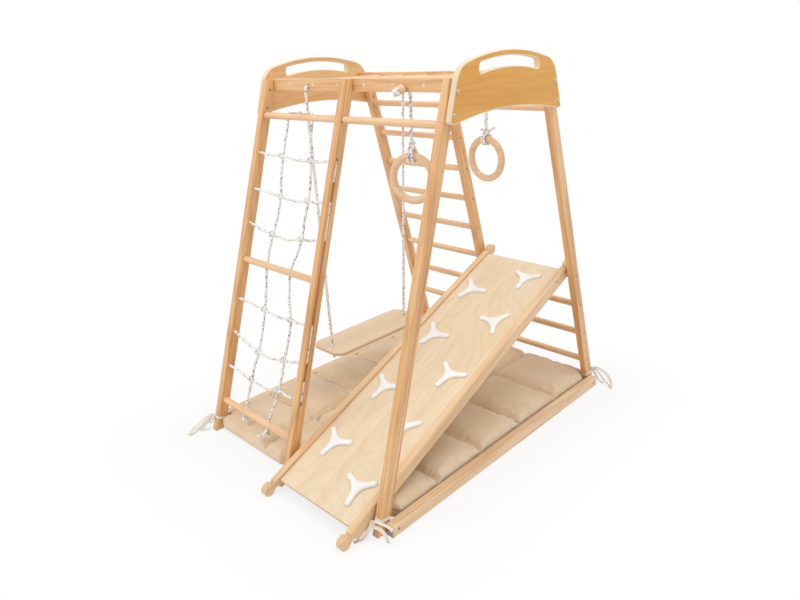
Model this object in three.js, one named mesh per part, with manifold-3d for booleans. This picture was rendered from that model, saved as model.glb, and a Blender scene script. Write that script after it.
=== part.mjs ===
// An indoor climbing frame: leaning posts, rungs, monkey bars, a net, a slide, a swing, two rings and a mat.
// Millimetres. X runs along the beams, Y from front to back, Z up. The floor is at Z = 0.

import * as THREE from "three";
import { mergeVertices } from "three/addons/utils/BufferGeometryUtils.js";
import Module from "manifold-3d";

const wasm = await Module();
wasm.setup();

// Shared clearances
const SEAT_GAP = 0.3; // between faces that touch
const OVERRUN = 4; // how far a cutting shape runs past the faces it cuts
const MERGE_DISTANCE = 1e-4; // vertices nearer than this are one

// Frame
const FRAME_WIDTH = 876.5; // over the outer faces of the side posts
const LEFT_BAY = 398.5; // clear width between the left and middle posts
const BEAM_TOP = 1260; // top of the beams and posts
const FOOT_REACH = 620; // mid-depth of the frame to a post's outer face, on the floor
const TOP_REACH = 264; // the same at the top of the posts
const POST_WIDTH = 26; // along X
const POST_DEPTH = 40; // square to the post's length
const POST_EASE = 3; // rounding of the long edges

// Top beams and monkey bars
const BEAM_HEIGHT = 42;
const BEAM_THICK = 20;
const BEAM_EASE = 2.5;
const BAR_DIAMETER = 24;
const BAR_COUNT = 6;
const BAR_PITCH = 126.4;

// Rungs
const RUNG_DIAMETER = 24;
const TOP_RUNG_DROP = 128; // from the top of the posts down to the top rungs' axis
const BOTTOM_RUNG = 108; // height of the bottom rungs' axis
const RUNG_COUNT = 9; // in a full ladder
const ROD_SIDES = 20;

// End panels
const PANEL_THICK = 20;
const PANEL_RISE = 71; // top of the arch above the beams
const PANEL_HEIGHT = 198; // from there down to the lower corners
const PANEL_CROWN_RADIUS = 772;
const PANEL_SHOULDER = 210; // mid-depth to the start of the rounded shoulder
const PANEL_SHOULDER_ROUND = 50;
const PANEL_FOOT_INSET = 24.9; // from the side's line to the lowest point
const PANEL_ARCH_RADIUS = 1300; // underside
const PANEL_SIDE_INSET = 7; // behind the posts' outer faces
const PANEL_CORNER = 14;
const PANEL_EASE = 3;
const SLOT_INSET = 18; // top of the hand slot's arch below the panel's
const SLOT_HEIGHT = 31;
const SLOT_HALF = 154; // mid-depth to the slot's end
const SLOT_CORNER = 12;

// Floor rails
const FLOOR_RAIL_THICK = 30.7;
const FLOOR_RAIL_HEIGHT = 36;
const FLOOR_RAIL_HALF = 590; // mid-depth to its end
const FLOOR_RAIL_EASE = 4;

// Slide
const SLIDE_LEFT_GAP = 15.5; // from the middle posts to the left side rail
const SLIDE_RIGHT_GAP = 6.8; // from the right side rail to the right posts
const SIDE_RAIL_THICK = 23;
const SIDE_RAIL_DEPTH = 42.5;
const SIDE_RAIL_EASE = 3;
const KNOB_RADIUS = 20;
const KNOB_SPAN = 1283.6; // from knob centre to knob centre
const HOOK_INBOARD = 21.2; // knob centre to hook centre, along the slide
const HOOK_BELOW = 25; // the same, square to the slide
const KNOB_DROP = 12.4; // from the rails' top line down to the knob centres
const NECK_DROP = 8; // from the rails' top line down to the neck behind a knob
const HOOK_CLEARANCE = 0.7; // between the hook notch and the rung in it
const HOOK_ROUND = 16; // rounding of the rail's lower corner beside the notch
const BOARD_DROP = 9.5; // board surface below the rails' top line
const BOARD_THICK = 9.5;
const BOARD_END_INSET = 12.3; // from a hook centre to the board's upper end
const BOARD_FOOT_INSET = 21.3; // the same at its lower end
const BOARD_EASE = 1.2;
const HOOK_RUNG_COUNT = 5; // rung spacings from the top rung down to the slide's rung

// Grips on the slide
const GRIP_ARM = 54; // centre of a grip to the centre of an arm's round end
const GRIP_ARM_RADIUS = 9.5;
const GRIP_WAIST = 19; // centre of a grip to the hollow between two arms
const GRIP_HEIGHT = 10;
const GRIP_EASE = 3.5;
// Each grip: across the half width that it can move in, down the board's length, and its turn in degrees
const gripShares = [
  [0.655, 0.077, 32],
  [-0.977, 0.179, 7],
  [0.86, 0.283, 58],
  [-0.87, 0.396, 11],
  [0.85, 0.511, 20],
  [-0.948, 0.626, 23],
  [0.782, 0.714, 40],
  [-0.928, 0.838, 22],
  [0.928, 0.912, 40],
];

// Swing
const ROPE_DIAMETER = 10; // swing and rings
const ROPE_SIDES = 8;
const ROPE_CLEARANCE = 0.5; // around a rope in its hole
const ROPE_HOLE_DROP = 25; // from the beams' top down to the axis of the rope holes
const SWING_SHIFT = -4; // swing ropes, right of the left bay's middle
const SEAT_LENGTH = 478; // along Y
const SEAT_WIDTH = 165;
const SEAT_THICK = 12;
const SEAT_TOP = 250;
const SEAT_CORNER = 40;
const SEAT_EASE = 2.5;
const SEAT_HOLE_INSET = 38; // from the seat's end to a rope hole
const KNOT_RADIUS = 10.5;

// Rings
const RING_FRONT_SHIFT = 20.7; // front ring's hole, right of the right bay's middle
const RING_BACK_SHIFT = 4.7; // and the back ring's
const RING_DIAMETER = 165; // outside
const RING_SECTION = 24.5;
const RING_FRONT_CENTRE = 950; // heights
const RING_BACK_CENTRE = 954;
const RING_FRONT_TURN = 14; // degrees about the vertical
const RING_BACK_TURN = -6;
const RING_STEPS = 28;
const RING_SIDES = 10;
const RING_STOPPER = 19; // radius of the knot on the beam's outer face
const STOPPER_DROP = 12; // its centre, below the hole
const STOPPER_SIDE = 3; // and to the right of it
const LOOP_CLEARANCE = 0.6; // between a ring and the rope loop round it

// Climbing net
const NET_ROPE = 8.5;
const NET_SIDES = 6;
const NET_CLEARANCE = 0.4; // around the rope in its holes
const NET_REST = 0.6; // between the rope and a face it lies on
const NET_FORWARD = 4; // rows' distance forward of the posts' mid-depth
const NET_BEND = 8;
const NET_KNOT = 9; // radius
const NET_END_KNOT = 10; // radius of the stopper knots under the bottom rung
const NET_TAIL = 62; // length of the rows' ends in the groove
const NET_LOOSE_END = 26; // length of the tail below the right stopper knot
const GROOVE_WIDTH = 10;
const GROOVE_DEPTH = 9.8;
const GROOVE_OVER = 8; // groove beyond the outermost rows
// Rows' heights, in rung spacings below the top rungs, and their knots across the left bay
const netRowShares = [1.02, 2.02, 2.97, 5.09, 6.03, 7.0];
const netLeftKnotShares = [0.346, 0.4, 0.366, 0.409, 0.409, 0.366];
const netRightKnotShares = [0.738, 0.78, 0.77, 0.783, 0.768, 0.758];
// How far each knot hangs below its row, in rung spacings
const netLeftSagShares = [0.03, 0.09, 0.18, 0.06, 0.26, 0.09];
const netRightSagShares = [0.07, 0.09, 0.11, 0.07, 0.18, 0.0];
const netHoleShares = [1 / 3, 2 / 3]; // upright ropes' holes across the bay

// Floor mat
const MAT_THICK = 54;
const MAT_RIM = 25; // height of its outermost edge
const MAT_REACH = 598; // mid-depth to its front and back edges
const MAT_SLIDE_GAP = 21.1; // under the slide's side rails, above the mat's outermost edge
const MAT_POST_GAP = 3; // to the posts' inner faces
const MAT_SIDE_GAP = 3.3; // from a side post's outer face
const MAT_DRAW_IN = 7; // of the long sides between their corners
const MAT_PINCH_RUN = 48; // where its sides narrow to pass between the side posts
const MAT_PINCH_END = 36; // from there to the corners, at full pinch
const MAT_CORNER = 30;
const MAT_ROLL = 42; // width of the rounded edge
const MAT_UNDERCUT = 14; // flat underside, inside the outermost edge
const MAT_SEAM_DEPTH = 13;
const MAT_SEAM_WIDTH = 20;
const MAT_DENT_RUN = 42; // from beside a middle post out to the full reach
const MAT_DENT_SIDE = 4; // flat part of the dent, beside the post
const matCrossSeamShares = [-0.604, -0.216, 0.172, 0.56]; // along Y, of the reach
const matLongSeamShares = [-0.34, 0.34]; // along X, of the half width
const matEndShares = [0.83, 0.865, 0.9, 0.94, 0.97, 0.99, 1]; // rows near an end, of the reach
const matSideShares = [0.86, 0.93, 0.975, 1]; // columns near a side, of the half width

// Tape ties of the mat
const TAPE_WIDTH = 13;
const TAPE_THICK = 1.4;
const TAPE_HEIGHT = 51; // middle of the band round a post
const TAPE_GAP = 0.6; // between a post and its band
const TAPE_KNOT = 7.5; // radius

// What follows from these sizes
const slope = (FOOT_REACH - TOP_REACH) / BEAM_TOP; // a post's lean, along Y for each unit up
const lean = Math.atan(slope);
const postRun = POST_DEPTH / Math.cos(lean); // a post's depth, measured level
const leftX = -FRAME_WIDTH / 2;
const postX = { left: leftX, middle: leftX + POST_WIDTH + LEFT_BAY, right: FRAME_WIDTH / 2 - POST_WIDTH };
const bays = {
  left: [postX.left + POST_WIDTH, postX.middle],
  right: [postX.middle + POST_WIDTH, postX.right],
};
const bayMiddle = (bay) => (bays[bay][0] + bays[bay][1]) / 2;
const outerFace = (z) => FOOT_REACH - slope * z; // distances from mid-depth
const innerFace = (z) => outerFace(z) - postRun;
const middleOf = (z) => outerFace(z) - postRun / 2;
const topRung = BEAM_TOP - TOP_RUNG_DROP;
const rungPitch = (topRung - BOTTOM_RUNG) / (RUNG_COUNT - 1);
const rungZ = (level) => topRung - rungPitch * level;
const ropeHoleZ = BEAM_TOP - ROPE_HOLE_DROP;
const beamFace = innerFace(BEAM_TOP - BEAM_HEIGHT); // a beam's outer face
const beamBack = beamFace - BEAM_THICK; // and its inner face
const swingX = bayMiddle("left") + SWING_SHIFT;
const ringX = { front: bayMiddle("right") + RING_FRONT_SHIFT, back: bayMiddle("right") + RING_BACK_SHIFT };

const X = new THREE.Vector3(1, 0, 0);
const Y = new THREE.Vector3(0, 1, 0);
const Z = new THREE.Vector3(0, 0, 1);
const at = (x, y, z) => new THREE.Vector3(x, y, z);
const radians = THREE.MathUtils.degToRad;

// Booleans

function toSolid(geometry) {
  const bare = geometry.index ? geometry.toNonIndexed() : geometry.clone();
  bare.deleteAttribute("normal");
  bare.deleteAttribute("uv");
  const merged = mergeVertices(bare, MERGE_DISTANCE);
  const vertProperties = merged.attributes.position.array;
  const triVerts = new Uint32Array(merged.index.array);
  return new wasm.Manifold(new wasm.Mesh({ numProp: 3, vertProperties, triVerts }));
}

function toGeometry(solid) {
  const mesh = solid.getMesh();
  const geometry = new THREE.BufferGeometry();
  geometry.setAttribute("position", new THREE.BufferAttribute(mesh.vertProperties, 3));
  geometry.setIndex(new THREE.BufferAttribute(mesh.triVerts, 1));
  geometry.computeVertexNormals();
  return geometry;
}

function cut(body, tools) {
  let solid = toSolid(body);
  for (const tool of tools) {
    solid = solid.subtract(toSolid(tool));
  }
  return toGeometry(solid);
}

function join(pieces) {
  let solid = toSolid(pieces[0]);
  for (const piece of pieces.slice(1)) {
    solid = solid.add(toSolid(piece));
  }
  return toGeometry(solid);
}

// Basic shapes

// A slab on Z = 0 with its outline's edges eased
function easedSlab(shape, thickness, ease, curveSegments) {
  const geometry = new THREE.ExtrudeGeometry(shape, {
    depth: thickness - 2 * ease,
    bevelThickness: ease,
    bevelSize: ease,
    bevelOffset: -ease,
    bevelSegments: 1,
    curveSegments,
  });
  geometry.translate(0, 0, ease);
  return geometry;
}

// A flat piece whose outline is drawn as (Y, Z), running along X from x
function sideBoard(shape, x, thickness, ease) {
  const geometry = easedSlab(shape, thickness, ease, 4);
  geometry.applyMatrix4(new THREE.Matrix4().makeBasis(Y, Z, X));
  geometry.translate(x, 0, 0);
  return geometry;
}

// A flat piece whose outline is drawn as (X, Y), rising from z
function flatBoard(shape, z, thickness, ease, curveSegments = 4) {
  const geometry = easedSlab(shape, thickness, ease, curveSegments);
  geometry.translate(0, 0, z);
  return geometry;
}

function rectangle(x0, y0, x1, y1, radius = 0) {
  const shape = new THREE.Shape();
  shape.moveTo(x0 + radius, y0);
  shape.lineTo(x1 - radius, y0);
  if (radius) shape.absarc(x1 - radius, y0 + radius, radius, -Math.PI / 2, 0);
  shape.lineTo(x1, y1 - radius);
  if (radius) shape.absarc(x1 - radius, y1 - radius, radius, 0, Math.PI / 2);
  shape.lineTo(x0 + radius, y1);
  if (radius) shape.absarc(x0 + radius, y1 - radius, radius, Math.PI / 2, Math.PI);
  shape.lineTo(x0, y0 + radius);
  if (radius) shape.absarc(x0 + radius, y0 + radius, radius, Math.PI, 1.5 * Math.PI);
  return shape;
}

// A round rod from x0 to x1
function rodAlongX(radius, x0, x1, y, z, sides = ROD_SIDES) {
  const geometry = new THREE.CylinderGeometry(radius, radius, x1 - x0, sides);
  geometry.rotateZ(Math.PI / 2);
  geometry.translate((x0 + x1) / 2, y, z);
  return geometry;
}

// A round rod from y0 to y1
function rodAlongY(radius, y0, y1, x, z, sides = ROD_SIDES) {
  const geometry = new THREE.CylinderGeometry(radius, radius, y1 - y0, sides);
  geometry.translate(x, (y0 + y1) / 2, z);
  return geometry;
}

function ball(radius, centre, steps = 10) {
  const geometry = new THREE.SphereGeometry(radius, steps, steps - 2);
  geometry.translate(centre.x, centre.y, centre.z);
  return geometry;
}

// A path that takes one step for each of its points, so that straight runs stay plain
class Route extends THREE.Curve {
  constructor(points) {
    super();
    this.points = points;
  }

  getPoint(share, target = new THREE.Vector3()) {
    const place = share * (this.points.length - 1);
    const i = Math.min(Math.floor(place), this.points.length - 2);
    return target.copy(this.points[i]).lerp(this.points[i + 1], place - i);
  }

  getPointAt(share, target) {
    return this.getPoint(share, target);
  }

  getTangentAt(share, target = new THREE.Vector3()) {
    const last = this.points.length - 1;
    const i = Math.round(share * last);
    target.set(0, 0, 0);
    if (i > 0) target.add(this.points[i].clone().sub(this.points[i - 1]).normalize());
    if (i < last) target.add(this.points[i + 1].clone().sub(this.points[i]).normalize());
    return target.normalize();
  }
}

function rope(points, radius, sides) {
  const section = new THREE.Shape();
  section.absarc(0, 0, radius, 0, 2 * Math.PI);
  const round = new THREE.Shape(section.getSpacedPoints(sides).slice(0, sides));
  return new THREE.ExtrudeGeometry(round, {
    steps: points.length - 1,
    bevelEnabled: false,
    extrudePath: new Route(points),
  });
}

// The same line with each corner rounded by a short curve
function rounded(points, radius, steps = 3) {
  const line = [points[0]];
  for (let i = 1; i < points.length - 1; i += 1) {
    const back = points[i - 1].clone().sub(points[i]);
    const on = points[i + 1].clone().sub(points[i]);
    const turn = Math.PI - back.angleTo(on);
    const want = radius * Math.tan(turn / 2);
    const along = (way) => {
      const reach = Math.min(want, way.length() / 2.1);
      return points[i].clone().addScaledVector(way.clone().normalize(), reach);
    };
    const from = along(back);
    const to = along(on);
    if (turn < radians(12)) {
      line.push(points[i]);
    } else {
      const bend = new THREE.QuadraticBezierCurve3(from, points[i], to);
      line.push(...bend.getPoints(steps));
    }
  }
  line.push(points[points.length - 1]);
  return line;
}

// The parts stand in one group, whose origin lies on the floor under the middle of the whole object
const part = new THREE.Group();
const stand = new THREE.Group();
part.add(stand);

const finishes = {
  birch: { color: 0xe3b684, roughness: 0.5, metalness: 0 },
  panel: { color: 0xdfae72, roughness: 0.5, metalness: 0 },
  board: { color: 0xe6cfa6, roughness: 0.45, metalness: 0 },
  ring: { color: 0xd9b088, roughness: 0.45, metalness: 0 },
  rope: { color: 0xefe9e2, roughness: 0.9, metalness: 0 },
  plastic: { color: 0xfafafa, roughness: 0.35, metalness: 0 },
  mat: { color: 0xcdb294, roughness: 0.95, metalness: 0 },
  tape: { color: 0xe9e2d3, roughness: 0.9, metalness: 0 },
};

function add(name, geometry, finish, parent = stand) {
  const mesh = new THREE.Mesh(geometry, new THREE.MeshStandardMaterial(finishes[finish]));
  mesh.name = name;
  parent.add(mesh);
  return mesh;
}

// Climbing net: routes first, because its ropes pass through the posts and rungs

const netRadius = NET_ROPE / 2;
const netPoint = (x, z, forward) => at(x, -(middleOf(z) + forward), z);
const acrossLeftBay = (share) => bays.left[0] + share * LEFT_BAY;
const outsideX = leftX - netRadius - NET_REST;
const grooveX = postX.middle + POST_WIDTH - GROOVE_DEPTH + netRadius + NET_REST;
const rowZ = netRowShares.map(rungZ);
const leftKnots = netRowShares.map((_, i) =>
  netPoint(acrossLeftBay(netLeftKnotShares[i]), rowZ[i] - netLeftSagShares[i] * rungPitch, NET_FORWARD));
const rightKnots = netRowShares.map((_, i) =>
  netPoint(acrossLeftBay(netRightKnotShares[i]), rowZ[i] - netRightSagShares[i] * rungPitch, NET_FORWARD));

// One rope makes all the rows: it turns back outside the left post and in the middle post's groove
function rowRoute() {
  const corners = [netPoint(grooveX, rowZ[0] - NET_TAIL, NET_FORWARD)];
  rowZ.forEach((z, i) => {
    const row = [
      netPoint(grooveX, z, NET_FORWARD),
      netPoint(bays.left[1] - NET_REST, z, NET_FORWARD),
      rightKnots[i],
      leftKnots[i],
      netPoint(bays.left[0] + NET_REST, z, NET_FORWARD),
      netPoint(outsideX, z, NET_FORWARD),
    ];
    corners.push(...(i % 2 ? row.reverse() : row));
  });
  corners.push(netPoint(grooveX, rowZ[rowZ.length - 1] + NET_TAIL, NET_FORWARD));
  return rounded(corners, NET_BEND);
}

// One rope makes both uprights: it lies on the top rung between its two holes
function uprightRoute() {
  const [leftHole, rightHole] = netHoleShares.map(acrossLeftBay);
  const rungHalf = RUNG_DIAMETER / 2;
  const overTop = rungZ(0) + rungHalf + netRadius + NET_REST;
  const onTop = (x) => at(x, -middleOf(rungZ(0)), overTop);
  const inRung = (x, level) => {
    const z = rungZ(level);
    return [netPoint(x, z + rungHalf + NET_REST, 0), netPoint(x, z - rungHalf - NET_REST, 0)];
  };
  const down = (x, knots) => [
    netPoint(x, rungZ(0) - rungHalf - NET_REST, 0),
    ...knots.slice(0, 3),
    ...inRung(x, 4),
    ...knots.slice(3),
    ...inRung(x, 8),
    netPoint(x, rungZ(8) - rungHalf - NET_END_KNOT, 0),
  ];
  const corners = [
    ...down(leftHole, leftKnots).reverse(),
    onTop(leftHole),
    onTop(rightHole),
    ...down(rightHole, rightKnots),
  ];
  return rounded(corners, NET_BEND);
}

const netRoutes = [rowRoute(), uprightRoute()];
const netHoles = netRoutes.map((route) => rope(route, netRadius + NET_CLEARANCE, NET_SIDES));

function climbingNet() {
  const knots = [...leftKnots, ...rightKnots].map((place) => ball(NET_KNOT, place, 7));
  const ends = netHoleShares.map((share) => {
    const z = rungZ(8) - RUNG_DIAMETER / 2 - NET_END_KNOT - NET_REST;
    return netPoint(acrossLeftBay(share), z, 0);
  });
  const below = ends[1].clone().add(at(-NET_LOOSE_END / 2, -NET_LOOSE_END / 2, -NET_LOOSE_END / 2));
  const tail = rope([ends[1], below], netRadius, NET_SIDES);
  const stoppers = ends.map((place) => ball(NET_END_KNOT, place, 7));
  const ropes = netRoutes.map((route) => rope(route, netRadius, NET_SIDES));
  return join([...ropes, ...knots, ...stoppers, tail]);
}

add("climbing_net", climbingNet(), "rope");

// Posts: each leans in to its beam, which sits in a step cut in the inner face

function postShape(side) {
  const stepFace = beamFace + SEAT_GAP;
  const stepFoot = (FOOT_REACH - postRun - stepFace) / slope;
  const outline = [
    [FOOT_REACH, 0],
    [innerFace(0), 0],
    [stepFace, stepFoot],
    [stepFace, BEAM_TOP],
    [TOP_REACH, BEAM_TOP],
  ];
  return new THREE.Shape(outline.map(([y, z]) => new THREE.Vector2(side * y, z)));
}

// The groove for the net's rope, along the middle post's right face
function ropeGroove() {
  const top = rowZ[0] + GROOVE_OVER;
  const bottom = rowZ[rowZ.length - 1] - GROOVE_OVER;
  const length = (top - bottom) / Math.cos(lean);
  const groove = new THREE.BoxGeometry(GROOVE_DEPTH + OVERRUN, GROOVE_WIDTH, length);
  groove.rotateX(-lean);
  const middleX = postX.middle + POST_WIDTH + (OVERRUN - GROOVE_DEPTH) / 2;
  const middle = netPoint(middleX, (top + bottom) / 2, NET_FORWARD);
  groove.translate(middle.x, middle.y, middle.z);
  return groove;
}

for (const [sideName, side] of [["front", -1], ["back", 1]]) {
  for (const [place, x] of Object.entries(postX)) {
    let post = sideBoard(postShape(side), x, POST_WIDTH, POST_EASE);
    if (side < 0 && place === "left") post = cut(post, netHoles);
    if (side < 0 && place === "middle") post = cut(post, [ropeGroove(), ...netHoles]);
    add(`post_${sideName}_${place}`, post, "birch");
  }
}

// Beams, with the holes of the swing's and the rings' ropes

for (const [sideName, side] of [["front", -1], ["back", 1]]) {
  const near = Math.min(side * beamFace, side * beamBack);
  const section = rectangle(near, BEAM_TOP - BEAM_HEIGHT, near + BEAM_THICK, BEAM_TOP, BEAM_EASE);
  const beam = new THREE.ExtrudeGeometry(section, {
    depth: FRAME_WIDTH,
    bevelEnabled: false,
    curveSegments: 2,
  });
  beam.applyMatrix4(new THREE.Matrix4().makeBasis(Y, Z, X));
  beam.translate(leftX, 0, 0);
  const holeRadius = ROPE_DIAMETER / 2 + ROPE_CLEARANCE;
  const holes = [swingX, ringX[sideName]].map((x) =>
    rodAlongY(holeRadius, near - OVERRUN, near + BEAM_THICK + OVERRUN, x, ropeHoleZ, 12));
  add(`beam_${sideName}`, cut(beam, holes), "birch");
}

for (let i = 0; i < BAR_COUNT; i += 1) {
  const x = (i - (BAR_COUNT - 1) / 2) * BAR_PITCH;
  const end = beamBack - SEAT_GAP;
  const bar = rodAlongY(BAR_DIAMETER / 2, -end, end, x, BEAM_TOP - BEAM_HEIGHT / 2);
  add(`monkey_bar_${i + 1}`, bar, "birch");
}

// Rungs, butted between the posts

function rung(side, bay, level) {
  const z = rungZ(level);
  const [x0, x1] = bays[bay];
  return rodAlongX(RUNG_DIAMETER / 2, x0 + SEAT_GAP, x1 - SEAT_GAP, side * middleOf(z), z);
}

for (const [name, level] of [["top", 0], ["middle", 4], ["bottom", 8]]) {
  add(`rung_front_left_${name}`, cut(rung(-1, "left", level), [netHoles[1]]), "birch");
}
add("rung_front_right_top", rung(-1, "right", 0), "birch");
for (let level = 0; level < RUNG_COUNT; level += 1) {
  add(`rung_back_left_${level + 1}`, rung(1, "left", level), "birch");
}
for (const level of [0, 6, 7, 8]) {
  add(`rung_back_right_${level + 1}`, rung(1, "right", level), "birch");
}
add("slide_hook_rung", rung(1, "right", HOOK_RUNG_COUNT), "birch");

// End panels: an arched board with an arched hand slot

function arcBetween(path, centreZ, radius, halfSpan, forward) {
  const half = Math.asin(halfSpan / radius);
  const start = Math.PI / 2 + (forward ? -half : half);
  const end = Math.PI / 2 + (forward ? half : -half);
  path.absarc(0, centreZ, radius, start, end, !forward);
}

const panelCrown = BEAM_TOP + PANEL_RISE;
const panelFoot = panelCrown - PANEL_HEIGHT;
const panelFootSpan = outerFace(panelFoot) - PANEL_SIDE_INSET - PANEL_FOOT_INSET; // mid-depth to it

function panelShape() {
  const crownCentre = panelCrown - PANEL_CROWN_RADIUS;
  const archCentre = panelFoot - Math.sqrt(PANEL_ARCH_RADIUS ** 2 - panelFootSpan ** 2);
  const side = (z) => outerFace(z) - PANEL_SIDE_INSET;
  const crownAt = (y) => crownCentre + Math.sqrt(PANEL_CROWN_RADIUS ** 2 - y ** 2);
  const fall = PANEL_SHOULDER / Math.sqrt(PANEL_CROWN_RADIUS ** 2 - PANEL_SHOULDER ** 2);
  // Where the crown's tangent at the shoulder meets the side's line
  const shoulderRun = FOOT_REACH - PANEL_SIDE_INSET - PANEL_SHOULDER;
  const shoulderZ = (crownAt(PANEL_SHOULDER) - fall * shoulderRun) / (1 - fall * slope);
  const shoulderFoot = shoulderZ - PANEL_SHOULDER_ROUND;
  const cornerTop = panelFoot + PANEL_CORNER;
  const shape = new THREE.Shape();
  shape.moveTo(panelFootSpan, panelFoot);
  shape.quadraticCurveTo(side(panelFoot), panelFoot, side(cornerTop), cornerTop);
  shape.lineTo(side(shoulderFoot), shoulderFoot);
  shape.quadraticCurveTo(side(shoulderZ), shoulderZ, PANEL_SHOULDER, crownAt(PANEL_SHOULDER));
  arcBetween(shape, crownCentre, PANEL_CROWN_RADIUS, PANEL_SHOULDER, true);
  shape.quadraticCurveTo(-side(shoulderZ), shoulderZ, -side(shoulderFoot), shoulderFoot);
  shape.lineTo(-side(cornerTop), cornerTop);
  shape.quadraticCurveTo(-side(panelFoot), panelFoot, -panelFootSpan, panelFoot);
  arcBetween(shape, archCentre, PANEL_ARCH_RADIUS, panelFootSpan, false);
  shape.holes.push(slotPath(crownCentre));
  return shape;
}

function slotPath(crownCentre) {
  const top = PANEL_CROWN_RADIUS - SLOT_INSET;
  const bottom = top - SLOT_HEIGHT;
  const straight = SLOT_HALF - SLOT_CORNER;
  const heightOn = (radius, y) => crownCentre + Math.sqrt(radius ** 2 - y ** 2);
  const path = new THREE.Path();
  path.moveTo(straight, heightOn(bottom, straight));
  for (const end of [1, -1]) {
    const outer = end * SLOT_HALF;
    const inner = end * straight;
    const low = [heightOn(bottom, outer), heightOn(bottom, outer) + SLOT_CORNER];
    const high = [heightOn(top, outer) - SLOT_CORNER, heightOn(top, outer)];
    if (end > 0) {
      path.quadraticCurveTo(outer, low[0], outer, low[1]);
      path.lineTo(outer, Math.max(high[0], low[1]));
      path.quadraticCurveTo(outer, high[1], inner, heightOn(top, inner));
      arcBetween(path, crownCentre, top, straight, true);
    } else {
      path.quadraticCurveTo(outer, high[1], outer, Math.max(high[0], low[1]));
      path.lineTo(outer, low[1]);
      path.quadraticCurveTo(outer, low[0], inner, heightOn(bottom, inner));
      arcBetween(path, crownCentre, bottom, straight, false);
    }
  }
  return path;
}

for (const [name, x] of [["left", leftX - SEAT_GAP - PANEL_THICK], ["right", -leftX + SEAT_GAP]]) {
  add(`end_panel_${name}`, sideBoard(panelShape(), x, PANEL_THICK, PANEL_EASE), "panel");
}

// Floor rails, outside the feet

const floorRailShape = rectangle(-FLOOR_RAIL_HALF, 0, FLOOR_RAIL_HALF, FLOOR_RAIL_HEIGHT);
for (const [name, x] of [["left", leftX - SEAT_GAP - FLOOR_RAIL_THICK], ["right", -leftX + SEAT_GAP]]) {
  add(`floor_rail_${name}`, sideBoard(floorRailShape, x, FLOOR_RAIL_THICK, FLOOR_RAIL_EASE), "birch");
}

// Slide: a group that hangs on its rung and leans until the lower knobs meet the floor.
// In the group, Y runs up the slide and Z square to it, from the hook notch's centre.

const hookZ = rungZ(HOOK_RUNG_COUNT);
const slideLength = KNOB_SPAN - HOOK_INBOARD; // hook centre to lower knob centre
const slideTilt =
  Math.asin((hookZ - KNOB_RADIUS) / Math.hypot(slideLength, HOOK_BELOW)) + Math.atan2(HOOK_BELOW, slideLength);
const slide = new THREE.Group();
slide.position.set(0, middleOf(hookZ), hookZ);
slide.rotation.x = slideTilt;
stand.add(slide);

const railTop = HOOK_BELOW + KNOB_DROP; // of the side rails, above the hook centre
const railFoot = railTop - SIDE_RAIL_DEPTH;
const notchRadius = RUNG_DIAMETER / 2 + HOOK_CLEARANCE;
const lowerHook = -(KNOB_SPAN - 2 * HOOK_INBOARD); // centre of the lower notch

// One end of a side rail: from the top line round the knob and its notch to the bottom line
function railEnd(centre, way) {
  const neck = railTop - NECK_DROP;
  const place = (y, z) => new THREE.Vector2(centre + way * y, z);
  const knob = (angle) =>
    place(HOOK_INBOARD + KNOB_RADIUS * Math.cos(angle), HOOK_BELOW + KNOB_RADIUS * Math.sin(angle));
  const notch = (angle) => place(notchRadius * Math.cos(angle), notchRadius * Math.sin(angle));
  const shoulder = new THREE.QuadraticBezierCurve(
    place(-notchRadius, railTop), place(-NECK_DROP / 2, railTop), place(0, neck));
  const neckAngle = Math.PI - Math.asin((neck - HOOK_BELOW) / KNOB_RADIUS);
  const touch = Math.atan2(HOOK_BELOW, HOOK_INBOARD); // from the notch's centre to the knob's
  const knobSteps = 16;
  const notchSteps = 8;
  const points = shoulder.getPoints(4);
  const knobEnd = touch - Math.PI;
  for (let i = 0; i <= knobSteps; i += 1) {
    points.push(knob(neckAngle + ((knobEnd - neckAngle) * i) / knobSteps));
  }
  for (let i = 1; i <= notchSteps; i += 1) {
    points.push(notch(touch + ((Math.PI - touch) * i) / notchSteps));
  }
  const heel = new THREE.QuadraticBezierCurve(
    place(-notchRadius, 0), place(-notchRadius, railFoot), place(-notchRadius - HOOK_ROUND, railFoot));
  points.push(...heel.getPoints(4).slice(1));
  return points;
}

function sideRailShape() {
  return new THREE.Shape([...railEnd(0, 1), ...railEnd(lowerHook, -1).reverse()]);
}

const slideLeft = bays.right[0] + SLIDE_LEFT_GAP;
const slideRight = bays.right[1] - SLIDE_RIGHT_GAP;
for (const [name, x] of [["left", slideLeft], ["right", slideRight - SIDE_RAIL_THICK]]) {
  add(`slide_rail_${name}`, sideBoard(sideRailShape(), x, SIDE_RAIL_THICK, SIDE_RAIL_EASE), "birch", slide);
}

const boardHalf = (slideRight - slideLeft) / 2 - SIDE_RAIL_THICK - SEAT_GAP;
const boardMiddle = (slideLeft + slideRight) / 2;
const boardTop = -BOARD_END_INSET;
const boardFoot = lowerHook + BOARD_FOOT_INSET;
const boardSurface = railTop - BOARD_DROP;
const boardShape = rectangle(boardMiddle - boardHalf, boardFoot, boardMiddle + boardHalf, boardTop);
add("slide_board", flatBoard(boardShape, boardSurface - BOARD_THICK, BOARD_THICK, BOARD_EASE), "board", slide);

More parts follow.
